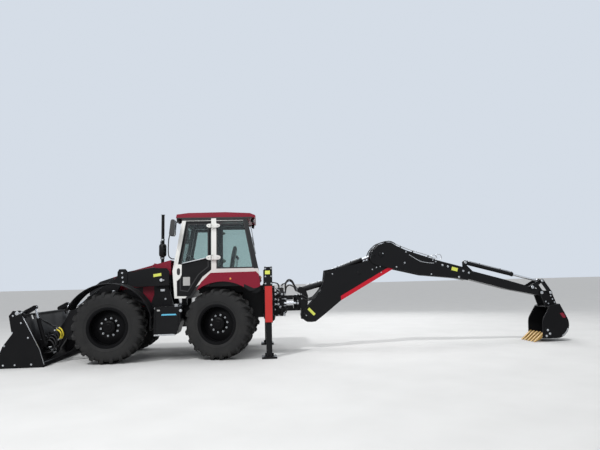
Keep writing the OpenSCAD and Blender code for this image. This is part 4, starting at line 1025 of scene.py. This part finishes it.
clamps = [lathe(at(*on_pipe(0, 0, z)), UP, [(0, 0.043), (0.03, 0.043)], 32) for z in (2080, 2500)]
clamps += hex_bolt(at(*on_pipe(-50, 0, 2065)), FORWARD, 0.013, 0.008)
jacket = [lathe(at(*on_pipe(0, 0, 2130)), UP, [
    (0, 0.05), (0.02, 0.074), (0.05, 0.082), (0.24, 0.082), (0.27, 0.074), (0.29, 0.05)], 40)]
piece("exhaust_jacket", "chassis", black, jacket)
piece("exhaust_clamps", "chassis", steel, clamps)
flap = [slab([on_pipe(-42, -30, 3083), on_pipe(-42, 30, 3083), on_pipe(44, 42, 3079),
              on_pipe(44, -42, 3079)], (0, 0, 4))]
piece("exhaust_flap", "chassis", black, flap, bevel=0.001)
guard = []
for k in range(9):
    a = math.radians(225 + 198 * (k / 8 - 0.5))
    foot = at(*on_pipe(52 * math.cos(a), 52 * math.sin(a), 2080))
    guard.append(sweep([foot, foot + Vector((0, 0, 0.4))], 0.003, 6))
piece("exhaust_guard", "chassis", black, guard)

# %% Side tank and step
tread = []
for i in range(7):
    for j in range(4):
        x, y = -190 + 62 * i + (15 if j % 2 else 0), -1080 + 60 * j
        tread.append(block(x, x + 34, y, y + 9, 1060, 1064))
steps = [block(x, x + 18, -1126, -900, 531, 536) for x in range(-215, 165, 38)]
piece("tank_tread", "chassis", black, both(tread), bevel=0.001)
piece("step_plates", "chassis", steel, both([
    block(-226, 176, -1131, -1129.5, 506, 532), block(-225, 175, -1129, -880, 531, 532.5)] + steps),
      bevel=0.0006)
piece("tank_line", "chassis", blue, both([side_plate(
    [(-95, 897), (205, 897), (190, 925), (-80, 925)], -1101.5, -1099.5)]))
piece("tank_labels", "chassis", pale, both([block(-176, -120, -1101.5, -1099.5, 982, 1012)]))
piece("tank_sight_plugs", "chassis", steel, both(bolts([(282, 985)], -1100, 0.036, 0.014)),
      smooth=25)
filler = [lathe(at(185, -1010, 1058), UP, [
    (0, 0.05), (0.03, 0.05), (0.034, 0.056), (0.05, 0.056), (0.056, 0.045)], 28)]
piece("tank_filler_cap", "chassis", steel, filler)
straps = [sweep([at(x, -1104, 540), at(x, -1104, 905), at(x, -1085, 1063)], 0.004, 6)
          for x in (-205, 240)]
piece("tank_straps", "chassis", black, both(straps))
print("tank done")

# %% [markdown]
# ## Loader arms
# Each pin shows as a bright head held by a keeper plate. Pressure hoses run
# along the top of each arm to the tilt and jaw cylinders, in clips.

# %% Pins of the loader
def pin_head(x, y, z, r, side=-1, keeper=True):
    """A pin's end at |y|, with a keeper plate and its screw."""
    base = at(x, side * y, z)
    out = (0, side, 0)
    shapes = [lathe(base, out, [(-0.002, r), (0.008, r), (0.012, r * 0.86)], 32)]
    if keeper:
        shapes += hex_bolt(base + Vector((r * 1.45, 0, 0)), out, 0.016, 0.01)
        shapes.append(prism([base + Vector((dx * r, 0, dz * r)) for dx, dz in
                             ((0.6, -0.35), (1.8, -0.35), (1.8, 0.35), (0.6, 0.35))],
                            Vector((0, side * 0.004, 0))))
    return shapes


ARM_FACE = 535.5       # the lift arms' outer face, from the machine's middle
arm_pins = pin_head(-1180, 536, 1380, 0.034) + pin_head(-1905, 536, 770, 0.036)
KNEE = [(-1110, 1585), (-1080, 1535), (-935, 1535), (-905, 1585), (-905, 1800), (-945, 1850),
        (-1075, 1850), (-1110, 1790)]
piece("knee_plates", "loader_arms", black, both([side_plate(KNEE, -549, -ARM_FACE)]), bevel=0.003)
for x, z in ((-1013, 1769), (-1005, 1673), (-991, 1577)):
    arm_pins += pin_head(x, 549, z, 0.021, keeper=False)
piece("arm_pins", "loader_arms", steel, both(arm_pins), smooth=25)
tower_pins = pin_head(-210, 549, 1600, 0.034) + pin_head(-330, 536, 1010, 0.026, keeper=False)
tower_pins += pin_head(-137, 437, 1204, 0.022, keeper=False)
tower_pins.append(block(-244, -158, -438.4, -437, 1366, 1412))
piece("arm_pivot_pins", "chassis", steel, both(tower_pins), smooth=25)
piece("arm_labels", "loader_arms", yellow, both([side_plate(
    [(-372, 1668), (-208, 1694), (-216, 1752), (-380, 1728)], -ARM_FACE, -ARM_FACE - 1.2)]))

# %% Hoses on the arms
ARM_TOP = [(-350, 1864), (-640, 1824), (-900, 1782), (-1100, 1712), (-1400, 1492), (-1700, 1272),
           (-1960, 1016)]
lines = [tube([(x, y, z + 8) for x, z in ARM_TOP], 0.0072, 8) for y in (-468, -485, -502)]
clips = [lathe(at(x, -485, z - 2), UP, [(0, 0.032), (0.014, 0.032)], 4)
         for x, z in ((-520, 1842), (-1010, 1752), (-1550, 1390), (-1850, 1120))]
piece("arm_pipes", "loader_arms", hose, both(lines), smooth=60)
piece("arm_pipe_clips", "loader_arms", seal, both(clips), bevel=0.001)
print("arms done")

# %% [markdown]
# ## Front bucket
# The jaw's cutting edge is bare steel, held by plough bolts. Two hoses in
# yellow covers reach down to the jaw cylinders.

# %% Edge, bolts and hoses
LIP_X, JAW_SIDE = -3150, 1180
edge = [(LIP_X - 0.6, 0.6), (LIP_X + 60, 0.6), (LIP_X + 60, 17), (LIP_X - 0.6, 9)]
piece("cutting_edge", "bucket_jaw", steel, [side_plate(edge, -1178, 1178)], bevel=0.001)
piece("jaw_bolts", "bucket_jaw", steel, both(bolts((
    (-2855, 980), (-2700, 1040), (-2855, 660), (-2985, 420), (-2990, 60), (-2780, 60), (-2480, 60),
    (-2560, 560), (-2700, 840)), -JAW_SIDE, 0.022, 0.01)), smooth=25)
piece("jaw_pin_heads", "bucket_jaw", steel, both(pin_head(-2780, JAW_SIDE, 1025, 0.036)), smooth=25)
bucket_pins = [s for side in (-1, 1) for s in pin_head(-2300, 573, 270, 0.034, side, keeper=False)]
piece("bucket_pin_heads", "front_bucket", steel, bucket_pins, smooth=25)
jaw_hoses, fittings, feeds = [], [], []
for k in range(2):
    y, top_x, low_x = -562 - 34 * k, -2244 - 28 * k, -2184 - 20 * k
    top, low = (top_x, y, 686 - 40 * k), (low_x, y, 468)
    jaw_hoses.append(tube([
        top, (top_x + 52, y - 26, 660 - 30 * k), (top_x + 94, y - 30, 590 - 12 * k),
        (top_x + 96, y - 20, 530 - 6 * k), low], 0.014, 12))
    for end, turn in ((at(*top), Vector((1, 0, 0.3))), (at(*low), Vector((1, 0, 0.6)))):
        fittings.append(lathe(end - turn * 0.03, turn, [(0, 0.012), (0.05, 0.012)], 12))
        fittings += hex_bolt(end - turn * 0.045, turn, 0.03, 0.02, washer=False)
    feeds.append(tube([low, (-2232, y + 20, 340 - 20 * k), (-2330, -700, 300), (-2400, -770, 330),
                       (-2420, -800, 400)], 0.012))
    feeds.append(tube([top, (-2400, y - 60, 760 + 30 * k), (-2500, -740, 860),
                       (-2560, -790, 960)], 0.012))
for k in range(4):
    y = -560 - 60 * k
    feeds.append(tube([
        (-2440, y, 560 - 40 * k), (-2330, y + 10, 600 - 50 * k), (-2250, y, 520 - 60 * k),
        (-2280, y - 20, 360 - 40 * k), (-2440, y - 30, 300 - 30 * k)], 0.013))
for x, y, z in ((-2299, -640, 200), (-2318, -700, 260), (-2337, -760, 318)):
    fittings += nut(at(x, y, z), (0.95, 0, 0.31), 0.034, 0.03, 0.024)
piece("jaw_hoses", "front_bucket", yellow_hose, both(jaw_hoses), smooth=60)
piece("jaw_hose_fittings", "front_bucket", steel, both(fittings), smooth=25)
piece("jaw_feed_hoses", "front_bucket", hose, both(feeds), smooth=60)
# Bare steel strips on the jaw's rear edges stand in for the highlight that the edge of the black
# side plate catches: a painted highlight.
REAR_EDGE = [(-2252, 52), (-2342, 325), (-2532, 680), (-2682, 960)]
strips = [side_plate([(x0, z0), (x1, z1), (x1 + 6, z1 + 3), (x0 + 6, z0 + 3)], -JAW_SIDE, -1160)
          for (x0, z0), (x1, z1) in zip(REAR_EDGE, REAR_EDGE[1:])]
piece("jaw_edge_strips", "bucket_jaw", steel, both(strips))
print("front bucket done")

# %% [markdown]
# ## Stabilisers
# A red plate marks the outer face of each leg housing. The leg slides down out
# of it on a foot plate, which small gussets hold square.

# %% Plates, gussets and bolts
LEG_SIDE = 1180        # the outer face of a leg's housing
piece("stabiliser_plates", "chassis", red, both([block(1958, 2102, -1182.4, -1180.2, 708, 1424)]))
piece("stabiliser_labels", "chassis", yellow,
      both([block(1966, 2064, -1181.2, -1180.2, 1662, 1734)]))
screws = []
for x in (1972, 2088):
    screws += bolts([(x, z) for z in (1476, 1620, 1776)], -LEG_SIDE, 0.02, 0.011)
    for y in (-1046, -1154):
        screws += hex_bolt(at(x, y, 1810), UP, 0.024, 0.014)
piece("stabiliser_bolts", "chassis", steel, both(screws), smooth=25)
gussets, feet = [], []
for x in (1990, 2058):
    for y, out in ((-1158, -62), (-1042, 62)):
        gussets.append(slab([(x, y, 40), (x, y + out, 40), (x, y + out, 50), (x, y, 120)],
                            (12, 0, 0)))
for x in (1900, 2160):
    for y in (-1200, -1000):
        feet += hex_bolt(at(x, y, 40), UP, 0.026, 0.014)
pair("foot_gussets", "stabiliser", black, gussets, bevel=0.001)
pair("foot_bolts", "stabiliser", steel, feet, smooth=25)
RAIL_FRONT = 2020
leg_hoses, unions = [], []
for k in range(2):
    leg_hoses.append(tube([
        (2005 + 34 * k, -1020, 1690), (2005 + 34 * k, -985, 1684), (1996 + 22 * k, -960, 1610),
        (1974 + 6 * k, -950 + 14 * k, 1500), (1966, -940 + 34 * k, 1410),
        (1972, -930 + 40 * k, 1356), (RAIL_FRONT, -930 + 40 * k, 1345)], 0.010))
    unions += hex_bolt(at(2005 + 34 * k, -1020, 1690), (0, 1, 0), 0.028, 0.022)
    unions += hex_bolt(at(RAIL_FRONT, -930 + 40 * k, 1345), FORWARD, 0.026, 0.026, washer=False)
piece("leg_hoses", "chassis", hose, both(leg_hoses), smooth=60)
piece("leg_hose_unions", "chassis", steel, both(unions), smooth=25)
print("stabilisers done")

# %% [markdown]
# ## Sliding carriage and kingpost
# The carriage carries a valve block with a row of bright unions. Its hoses come
# over the top rail from the chassis, and others go on to the kingpost. A hose
# that crosses a joint stays in place and rides on neither body.

# %% Valve block and unions
piece("valve_block", "carriage", iron, [
    block(2195, 2404, -150, 150, 1203, 1292), block(2230, 2390, -122, 122, 1292, 1372)],
      bevel=0.003)
piece("carriage_boxes", "carriage", black, [
    block(2181, 2450, -120, 120, 915, 1145), block(2190, 2420, -150, 150, 752, 856),
    block(2450, 2600, -95, 95, 912, 978), block(2450, 2600, -95, 95, 1106, 1148)]
      + both([block(2200, 2336, -262, -234, 934, 1136)]), bevel=0.004)
unions, side = [], []
for y in range(-88, 89, 44):
    for x, z, way in ((2404, 1232, BACK), (2352, 1372, UP)):
        unions += nut(at(x, y, z), way, 0.034, 0.022, 0.02)
for x, z in ((2252, 1112), (2261, 1020), (2303, 956)):
    side += nut(at(x, -262, z), LEFT, 0.034, 0.02, 0.02)
side += bolts(((2252, 1258), (2346, 1232), (2400, 812), (2392, 770), (2278, 772)), -150, 0.03, 0.02)
side.append(tube([(2181, -250, 1389), (2246, -250, 1344), (2290, -236, 1310), (2300, -200, 1270),
                  (2300, -150, 1256)], 0.010))
for x, z in ((2340, 1130), (2340, 980), (2430, 1100)):
    side.append(rod(at(x, -121, z), at(x + 100, -121, z - 8), 0.009))
for z in (1022, 1128, 1236):
    side += nut(at(2180, -292, z), BACK, 0.04, 0.03, 0.026)
for y, z in ((-296, 760), (-296, 905), (-296, 1340), (-60, 740), (-180, 740), (-60, 1390),
             (-180, 1390)):
    side += hex_bolt(at(2180, y, z), BACK, 0.03, 0.018)
for x in (2300, 2210):
    side += nut(at(x, -180, 1076), UP, 0.034, 0.02, 0.02)
piece("carriage_unions", "carriage", steel, unions + both(side), smooth=25)
SHORT_HOSES = [  # from each union to the next, on the left
    [(2206, -292, 1236), (2256, -290, 1240), (2290, -240, 1238), (2300, -190, 1232),
     (2304, -150, 1230)],
    [(2206, -292, 1128), (2262, -296, 1150), (2310, -270, 1168), (2312, -200, 1150),
     (2300, -180, 1100)],
    [(2206, -292, 1022), (2240, -300, 1060), (2236, -286, 1150), (2220, -210, 1152),
     (2210, -180, 1100)],
    [(2278, -160, 782), (2290, -230, 790), (2330, -290, 850), (2330, -292, 930),
     (2312, -270, 956)],
    [(2400, -160, 812), (2440, -200, 850), (2430, -240, 920), (2350, -250, 990),
     (2336, -248, 1010)]]
piece("carriage_hoses", "carriage", hose, both([tube(p, 0.0115) for p in SHORT_HOSES]), smooth=60)

# %% Hoses that cross the slide and the swing
feed = []
for k in range(6):
    y = -165 + 66 * k
    feed.append(tube([
        (1925, y, 1352), (1922, y, 1420), (1965, y, 1478), (2070, y * 0.95, 1500),
        (2180, y * 0.8, 1490), (2256, y * 0.72, 1468), (2284, y * 0.66, 1420),
        (2290, y * 0.6, 1374)], 0.012, steps=8))
piece("feed_hoses", "chassis", hose, feed, smooth=60,
      bend=("carriage", at(1960, 0, 1400), at(2200, 0, 1400)))
ports = [s for k in range(6) for s in hex_bolt(at(1925, -165 + 66 * k, 1350), UP, 0.034, 0.026)]
piece("feed_ports", "chassis", steel, ports, smooth=25)
swing_hoses, ports = [], []
for x, y, z, up, drop in ((2420, -88, 1232, 0, 1345), (2420, -40, 1232, -90, 1275),
                          (2352, -62, 1392, 30, 1310)):
    swing_hoses.append(tube([
        (x, y, z), (x + 16, y, z + 56), (2440 - up / 4, y, 1450 + up * 0.7),
        (2510 - up / 5, -76, 1520 + up), (2580, -78, 1500 + up), (2630, -78, 1430 + up / 2),
        (2668, -78, drop + 34), (2710, -78, drop)], 0.0130, steps=8))
    ports += nut(at(2694, -78, drop + 7), (-0.9, 0, 0.4), 0.024, 0.018, 0.016)
piece("swing_hoses", "carriage", hose, both(swing_hoses), smooth=60,
      bend=("kingpost", at(2430, 0, 1400), at(2690, 0, 1400)))

# %% Kingpost pins and unions
king = [lathe(at(2690, 0, 1200), UP, [(0, 0.052), (0.012, 0.052), (0.018, 0.045)], 32)]
king += hex_bolt(at(2690, 0, 1217), UP, 0.032, 0.018)
side = ports + bolts([(2882, 748)], -137, 0.024, 0.014)
side += bolts(((2790, 1215), (2800, 1120)), -95, 0.03, 0.0045, washer=False)
side += hex_bolt(at(2775, -78, 1378), UP, 0.024, 0.016, washer=False)
side += nut(at(2690, -180, 1073), UP, 0.03, 0.012, 0.02)
CHEEK = [(2840, 1366), (2900, 1290), (2938, 1180), (2930, 1010), (2888, 870), (2870, 1100)]
heads = [lathe(at(2775, -95, 1310), LEFT, [(0, 0.03), (0.004, 0.03), (0.005, 0.027)], 32)]
heads += pin_head(2860, 137, 760, 0.044, keeper=False) + [side_plate(CHEEK, -94, -70)]
piece("kingpost_bolts", "kingpost", steel, king + both(side), smooth=25)
piece("kingpost_pins", "kingpost", black, both(heads), smooth=25)
loops = [tube([
    (2798 + 12 * k, -96, 1215 - 95 * k), (2812 + 12 * k, -118, 1200 - 80 * k),
    (2880, -128 - 6 * k, 1150 - 55 * k), (2962, -128 - 6 * k, 1120 - 40 * k),
    (3060, -124, 1150 - 30 * k), (3150, -108, 1240 - 20 * k), (3225, -88, 1340),
    (3290, -88 + 20 * k, 1450)], 0.0125, steps=8) for k in range(2)]
piece("boom_hoses", "kingpost", hose, both(loops), smooth=60,
      bend=("boom", at(2840, 0, 1200), at(3180, 0, 1200)))
print("carriage done")

# %% [markdown]
# ## Digging arm
# Pipes run along each cylinder, and hoses pass over the knee on the edges of the
# dipper. The guide pads of the telescopic stick are held by bright bolts.

# %% Boom and cylinders
def turned(origin, degrees, u, v, y):
    """A point u along and v above a line that leaves origin at this angle."""
    c, s = math.cos(math.radians(degrees)), math.sin(math.radians(degrees))
    return at(origin[0] + u * c - v * s, y, origin[1] + u * s + v * c)


BOOM_FOOT, BOOM_A, BOOM_FACE = (2860, 760), 36.6, 125     # pin, lean in degrees, side face
DIPPER_PIN, DIPPER_A, DIPPER_FACE = (4631, 2075), -15.5, 155


def on_dipper(u, v, y):
    return turned(DIPPER_PIN, DIPPER_A, u, v, y)


def cylinder_pipes(body, base, eye, first, last, r):
    """A steel pipe beside a barrel, with a port at each end and two clips."""
    tilt = math.degrees(math.atan2(eye[1] - base[1], eye[0] - base[0]))

    def beside(u, v):
        return turned(base, tilt, u, v, 0)

    off = r + 13
    pipe = [sweep(smooth_path([beside(u, v) for u, v in (
        (first, r - 6), (first, off - 2), (first + 30, off), (last - 30, off), (last, off - 2),
        (last, r - 6))]), 0.008)]
    axis, up = beside(1, 0) - beside(0, 0), beside(0, 1) - beside(0, 0)
    for u in (first, last):
        pipe += hex_bolt(beside(u, r - 4), up, 0.03, 0.016, washer=False)
    piece(body + "_pipe", body, steel, pipe, smooth=30)
    low, high, bands = (r - 1) / 1000, (r + 2) / 1000, []
    for share in (0.25, 0.75):
        u = first + share * (last - first)
        bands.append(lathe(beside(u, 0), axis, [
            (0, low), (0, high), (0.016, high), (0.016, low)], 36, ring=True))
        bands.append(lathe(beside(u, off), axis, [(0, 0.012), (0.016, 0.012)], 16))
    piece(body + "_bands", body, black, bands)


cylinder_pipes("boom_barrel", (2775, 1310), (4101.6, 1659.7), 150, 500, 60)
cylinder_pipes("dipper_barrel", (3400, 1661), (4445, 2050), 120, 760, 50)
cylinder_pipes("curl_barrel", (6675, 1851), (8439, 1382), 90, 1120, 45)
piece("boom_pins", "boom", black,
      both(pin_head(3400, BOOM_FACE, 1661, 0.036) + pin_head(4101.6, BOOM_FACE, 1659.7, 0.036)),
      smooth=25)
pins = bolts(((3502, 1655), (4526, 1780), (4612, 1800)), -BOOM_FACE, 0.026, 0.005, washer=False)
for p, q in ((1840, -150), (1960, -330), (2040, -60)):
    pins += hex_bolt(turned(BOOM_FOOT, BOOM_A, p, q, -BOOM_FACE), LEFT, 0.026, 0.005, washer=False)
piece("boom_bolts", "boom", steel, both(pins), smooth=25)
piece("boom_labels", "boom", yellow, both([side_plate(
    [(2914, 878), (3052, 737), (3094, 777), (2956, 919)], -BOOM_FACE - 0.3, -BOOM_FACE - 1.3)]))
channel = []
for k in range(2):
    y, down = -88 + 20 * k, 22 * k
    channel.append(tube([
        (3300 + 20 * k, y, 1460), (3345 + 20 * k, y, 1660 - 20 * k), (3420, y, 1720 - down),
        (3700, y, 1772 - down), (4040, y, 1834 - down), (4230, y, 1868 - down)], 0.0125))
piece("boom_channel_hoses", "boom", hose, both(channel), smooth=60)

# %% Knee hoses, dipper bolts and labels
knee_hoses = []
for k in range(2):
    start = [at(4200, -88 + 20 * k, 1860 - 22 * k), at(4268, -100 - 10 * k, 1915),
             at(4330, -126 - 10 * k, 1962)]
    over = [on_dipper(u, v, -137 - 14 * k) for u, v in (
        (-238, -20), (-206, 74), (-124, 202), (-32, 276), (76, 330), (178, 346), (304, 312))]
    knee_hoses.append(sweep(smooth_path(start + over), 0.011))
piece("knee_hoses", "boom", hose, both(knee_hoses), smooth=60,
      bend=("dipper", at(4290, 0, 1950), on_dipper(-200, 40, 0)))
piece("dipper_pins", "dipper", black, both(
    pin_head(4631, 170, 2075, 0.044, keeper=False)
    + pin_head(4445, DIPPER_FACE, 2050, 0.034)), smooth=25)
dipper_bits = bolts([(4671, 2092)], -170, 0.024, 0.02)
dipper_bits += bolts([(5180, 1870)], -DIPPER_FACE, 0.026, 0.016)
dipper_bits += bolts(((6072, 1800), (6199, 1765), (6558, 1654), (6690, 1609), (6448, 1516)),
                     -DIPPER_FACE, 0.032, 0.018)
for u, v in ((560, 200), (1290, 160), (1250, -150), (420, -190)):
    dipper_bits += hex_bolt(on_dipper(u, v, -DIPPER_FACE), LEFT, 0.022, 0.012)
piece("dipper_bolts", "dipper", steel, both(dipper_bits), smooth=25)
piece("dipper_labels", "dipper", yellow, both([prism(
    [on_dipper(u, v, -DIPPER_FACE - 0.3) for u, v in (
        (1690, 60), (1834, 60), (1834, 140), (1690, 140))], Vector((0, -0.001, 0)))]))
steel_pipes = []
for k in range(2):
    y = -143 - 15 * k
    steel_pipes.append(sweep(smooth_path([on_dipper(u, v, y) for u, v in (
        (274, 318), (420, 298), (644, 271), (868, 262), (1030, 254), (1180 - 60 * k, 238),
        (1262 - 60 * k, 208), (1276 - 60 * k, 160))]), 0.009))
    end = on_dipper(284, 316, y)
    steel_pipes += hex_bolt(end, on_dipper(285, 315.8, y) - end, 0.028, 0.03, washer=False)
steel_pipes.append(tube([
    (5296, -156, 2052), (5340, -163, 2022), (5534, -163, 1906), (5680, -163, 1868),
    (5830, -163, 1849), (5870, -157, 1852)], 0.008))
steel_pipes.append(tube([
    (5911, -144, 1900), (5914, -146, 1990), (5950, -148, 2048), (6030, -148, 2040),
    (6062, -148, 1985), (6040, -148, 1935), (5966, -144, 1900)], 0.008))
piece("dipper_pipes", "dipper", steel, both(steel_pipes), smooth=40)
clips = []
for u, v in ((400, 290), (700, 258), (1080, 240)):
    place = on_dipper(u, v, -143)
    clips.append(lathe(place, on_dipper(u + 1, v, -143) - place, [(0, 0.024), (0.024, 0.024)], 8))
piece("knee_clips", "dipper", seal, both(clips))
curl_bits = (pin_head(6675, 45, 1851, 0.032, keeper=False)
             + pin_head(8207, DIPPER_FACE, 1239, 0.036, keeper=False))
piece("stick_pins", "stick", steel, both(curl_bits), smooth=25)
piece("link_pins", "curl_link", steel, both(pin_head(8439, 180, 1382, 0.03, keeper=False)),
      smooth=25)

# %% [markdown]
# ## Digging bucket
# Worn gold sleeves cover the teeth, each held by a cross pin. The heel shows
# bright metal where the soil rubs, and the coupler's bolts stand out.

# %% Teeth, wear strips and bolts
TOOTH_X, TOOTH_Z = 8275.4, 80     # where a sleeve meets the lip
SLEEVE = [(-18, 2), (-187, -79.8), (-206, -79.8), (-200, -66), (44, 139), (62, 118)]
teeth, tooth_pins = [], []
for y in range(-254, 255, 127):
    teeth.append(side_plate([(TOOTH_X + u, TOOTH_Z + v) for u, v in SLEEVE], y - 28, y + 28))
    for s in (-1, 1):
        tooth_pins.append(lathe(at(TOOTH_X - 4, y + s * 27, 118), (0, s, 0),
                                [(0, 0.010), (0.004, 0.009)], 14))
piece("bucket_teeth", "rear_bucket", gold, teeth, bevel=0.003)
piece("tooth_pins", "rear_bucket", steel, tooth_pins)
HEEL_X, HEEL_Z = 8609.4, 393.2     # the middle of the heel's curve
heel = []
for k in range(10):
    a, b = math.radians(-64 + 4.4 * k), math.radians(-64 + 4.4 * (k + 1))
    heel.append(side_plate([(HEEL_X + r * math.cos(t), HEEL_Z + r * math.sin(t))
                            for r, t in ((286, a), (309, a), (309, b), (286, b))], -302, -299.6))
piece("heel_strips", "rear_bucket", steel, both(heel))
CUTTER = [(8279, 100), (8276, 84), (8410, 79), (8482, 150), (8430, 330), (8352, 330)]
piece("side_cutters", "rear_bucket", worked_black, both([side_plate(CUTTER, -309, -299.5)]),
      bevel=0.002)
bucket_bolts = bolts(((8440, 182), (8356, 134), (8396, 262)), -309, 0.034, 0.016)
bucket_bolts += bolts(((8667, 953), (8712, 880), (8559, 850), (8630, 1030), (8500, 900)), -158,
                      0.032, 0.0035, washer=False)
bucket_bolts.append(lathe(at(8421.4, -158, 1108.2), LEFT,
                          [(0, 0.036), (0.003, 0.036), (0.0035, 0.034)], 32))
bucket_bolts += pin_head(8617, 184, 1102.7, 0.03, keeper=False)
piece("bucket_bolts", "rear_bucket", steel, both(bucket_bolts), smooth=25)
piece("bucket_patches", "rear_bucket", burgundy, both([side_plate(
    [(8724, 632), (8800, 646), (8858, 562), (8846, 520), (8786, 536)], -301, -300.2)]))
print("digging arm done")

# %% [markdown]
# ## Studio
# The machine stands on a pale floor that runs on to a pale horizon. Three large
# soft boxes give long highlights on black paint, where a small lamp would give
# only dots. A wide sun gives the shadow on the floor, and a gentle world fills it.

# %% Floor and world
floor_mesh = bpy.data.meshes.new("floor")
FAR = 400              # half the floor's side
floor_mesh.from_pydata([(-FAR, -FAR, 0), (FAR, -FAR, 0), (FAR, FAR, 0), (-FAR, FAR, 0)], [],
                       [(0, 1, 2, 3)])
floor = bpy.data.objects.new("floor", floor_mesh)
bpy.context.scene.collection.objects.link(floor)
ground = bpy.data.materials.new("pale floor")
ground.use_nodes = True
tree = ground.node_tree
face = tree.nodes["Principled BSDF"]
speck = noise(tree, coordinates(tree)["Object"], 1.3, 8.0)
tree.links.new(mix(tree, speck, (0.50, 0.50, 0.495, 1), (0.58, 0.58, 0.575, 1)),
               face.inputs["Base Color"])
face.inputs["Roughness"].default_value = 0.9
face.inputs["Specular IOR Level"].default_value = 0.2
floor_mesh.materials.append(ground)

world = bpy.data.worlds.new("studio")
bpy.context.scene.world = world
world.use_nodes = True
tree = world.node_tree
tree.nodes["Background"].inputs["Color"].default_value = (0.93, 0.96, 1.0, 1)
tree.nodes["Background"].inputs["Strength"].default_value = 0.5
seen = add(tree, "ShaderNodeBackground", {"Color": (0.70, 0.76, 0.84, 1), "Strength": 0.95})
ray = add(tree, "ShaderNodeLightPath").outputs
camera_ray, glossy, through = [Number(tree, ray[f"Is {kind} Ray"])
                               for kind in ("Camera", "Glossy", "Transmission")]
both_worlds = add(tree, "ShaderNodeMixShader", {
    0: camera_ray | (glossy | through), 1: tree.nodes["Background"].outputs[0],
    2: seen.outputs[0]})
tree.links.new(both_worlds.outputs[0], tree.nodes["World Output"].inputs["Surface"])

# %% Soft boxes and a sun
def softbox(name, place, aim, width, tall, watts):
    light = bpy.data.lights.new(name, "AREA")
    light.shape, light.size, light.size_y, light.energy = "RECTANGLE", width, tall, watts
    made = bpy.data.objects.new(name, light)
    made.location = place
    made.rotation_euler = (Vector(aim) - Vector(place)).to_track_quat("-Z", "Y").to_euler()
    bpy.context.scene.collection.objects.link(made)


softbox("key box", (-5.0, -9.0, 7.5), (-0.5, 0, 1.2), 8.0, 4.0, 620)
softbox("top box", (1.0, 1.5, 9.0), (0.5, 0, 1.0), 12.0, 5.0, 520)
softbox("back box", (4.0, 10.0, 6.0), (0.0, 0, 1.2), 9.0, 4.0, 420)
sun = bpy.data.lights.new("sun", "SUN")
sun.energy, sun.angle = 1.5, math.radians(3)
sun_lamp = bpy.data.objects.new("sun", sun)
sun_lamp.rotation_euler = Vector((0.45, 0.55, -1.0)).to_track_quat("-Z", "Y").to_euler()
bpy.context.scene.collection.objects.link(sun_lamp)

# %% [markdown]
# ## Camera
# The place and the turn of the camera were worked out from the wheels, the cab
# and the boom in the picture that the machine is drawn from. The picture is
# 600 by 450 with a focal length of 474 of its pixels.

# %% Camera at the picture's viewpoint
YAW, PITCH, ROLL = -0.088343, 0.120294, -0.024664     # radians
FOCAL, WIDE, SENSOR = 474.426, 600, 36                # pixels, pixels, millimetres
ahead = Vector((-math.sin(YAW) * math.cos(PITCH), math.cos(YAW) * math.cos(PITCH), math.sin(PITCH)))
right = Vector((math.cos(YAW), math.sin(YAW), 0))
above = right.cross(ahead)
right, above = (right * math.cos(ROLL) + above * math.sin(ROLL),
                above * math.cos(ROLL) - right * math.sin(ROLL))
camera = bpy.data.objects.new("camera", bpy.data.cameras.new("camera"))
camera.data.sensor_width = SENSOR
camera.data.lens = FOCAL / WIDE * SENSOR
camera.data.clip_end = 1000
turn = Matrix((right, above, -ahead)).transposed()
camera.matrix_world = Matrix.Translation(at(1844.44, -10829.93, 1482.63)) @ turn.to_4x4()
bpy.context.scene.collection.objects.link(camera)
bpy.context.scene.camera = camera
bpy.context.scene.view_settings.view_transform = "Standard"
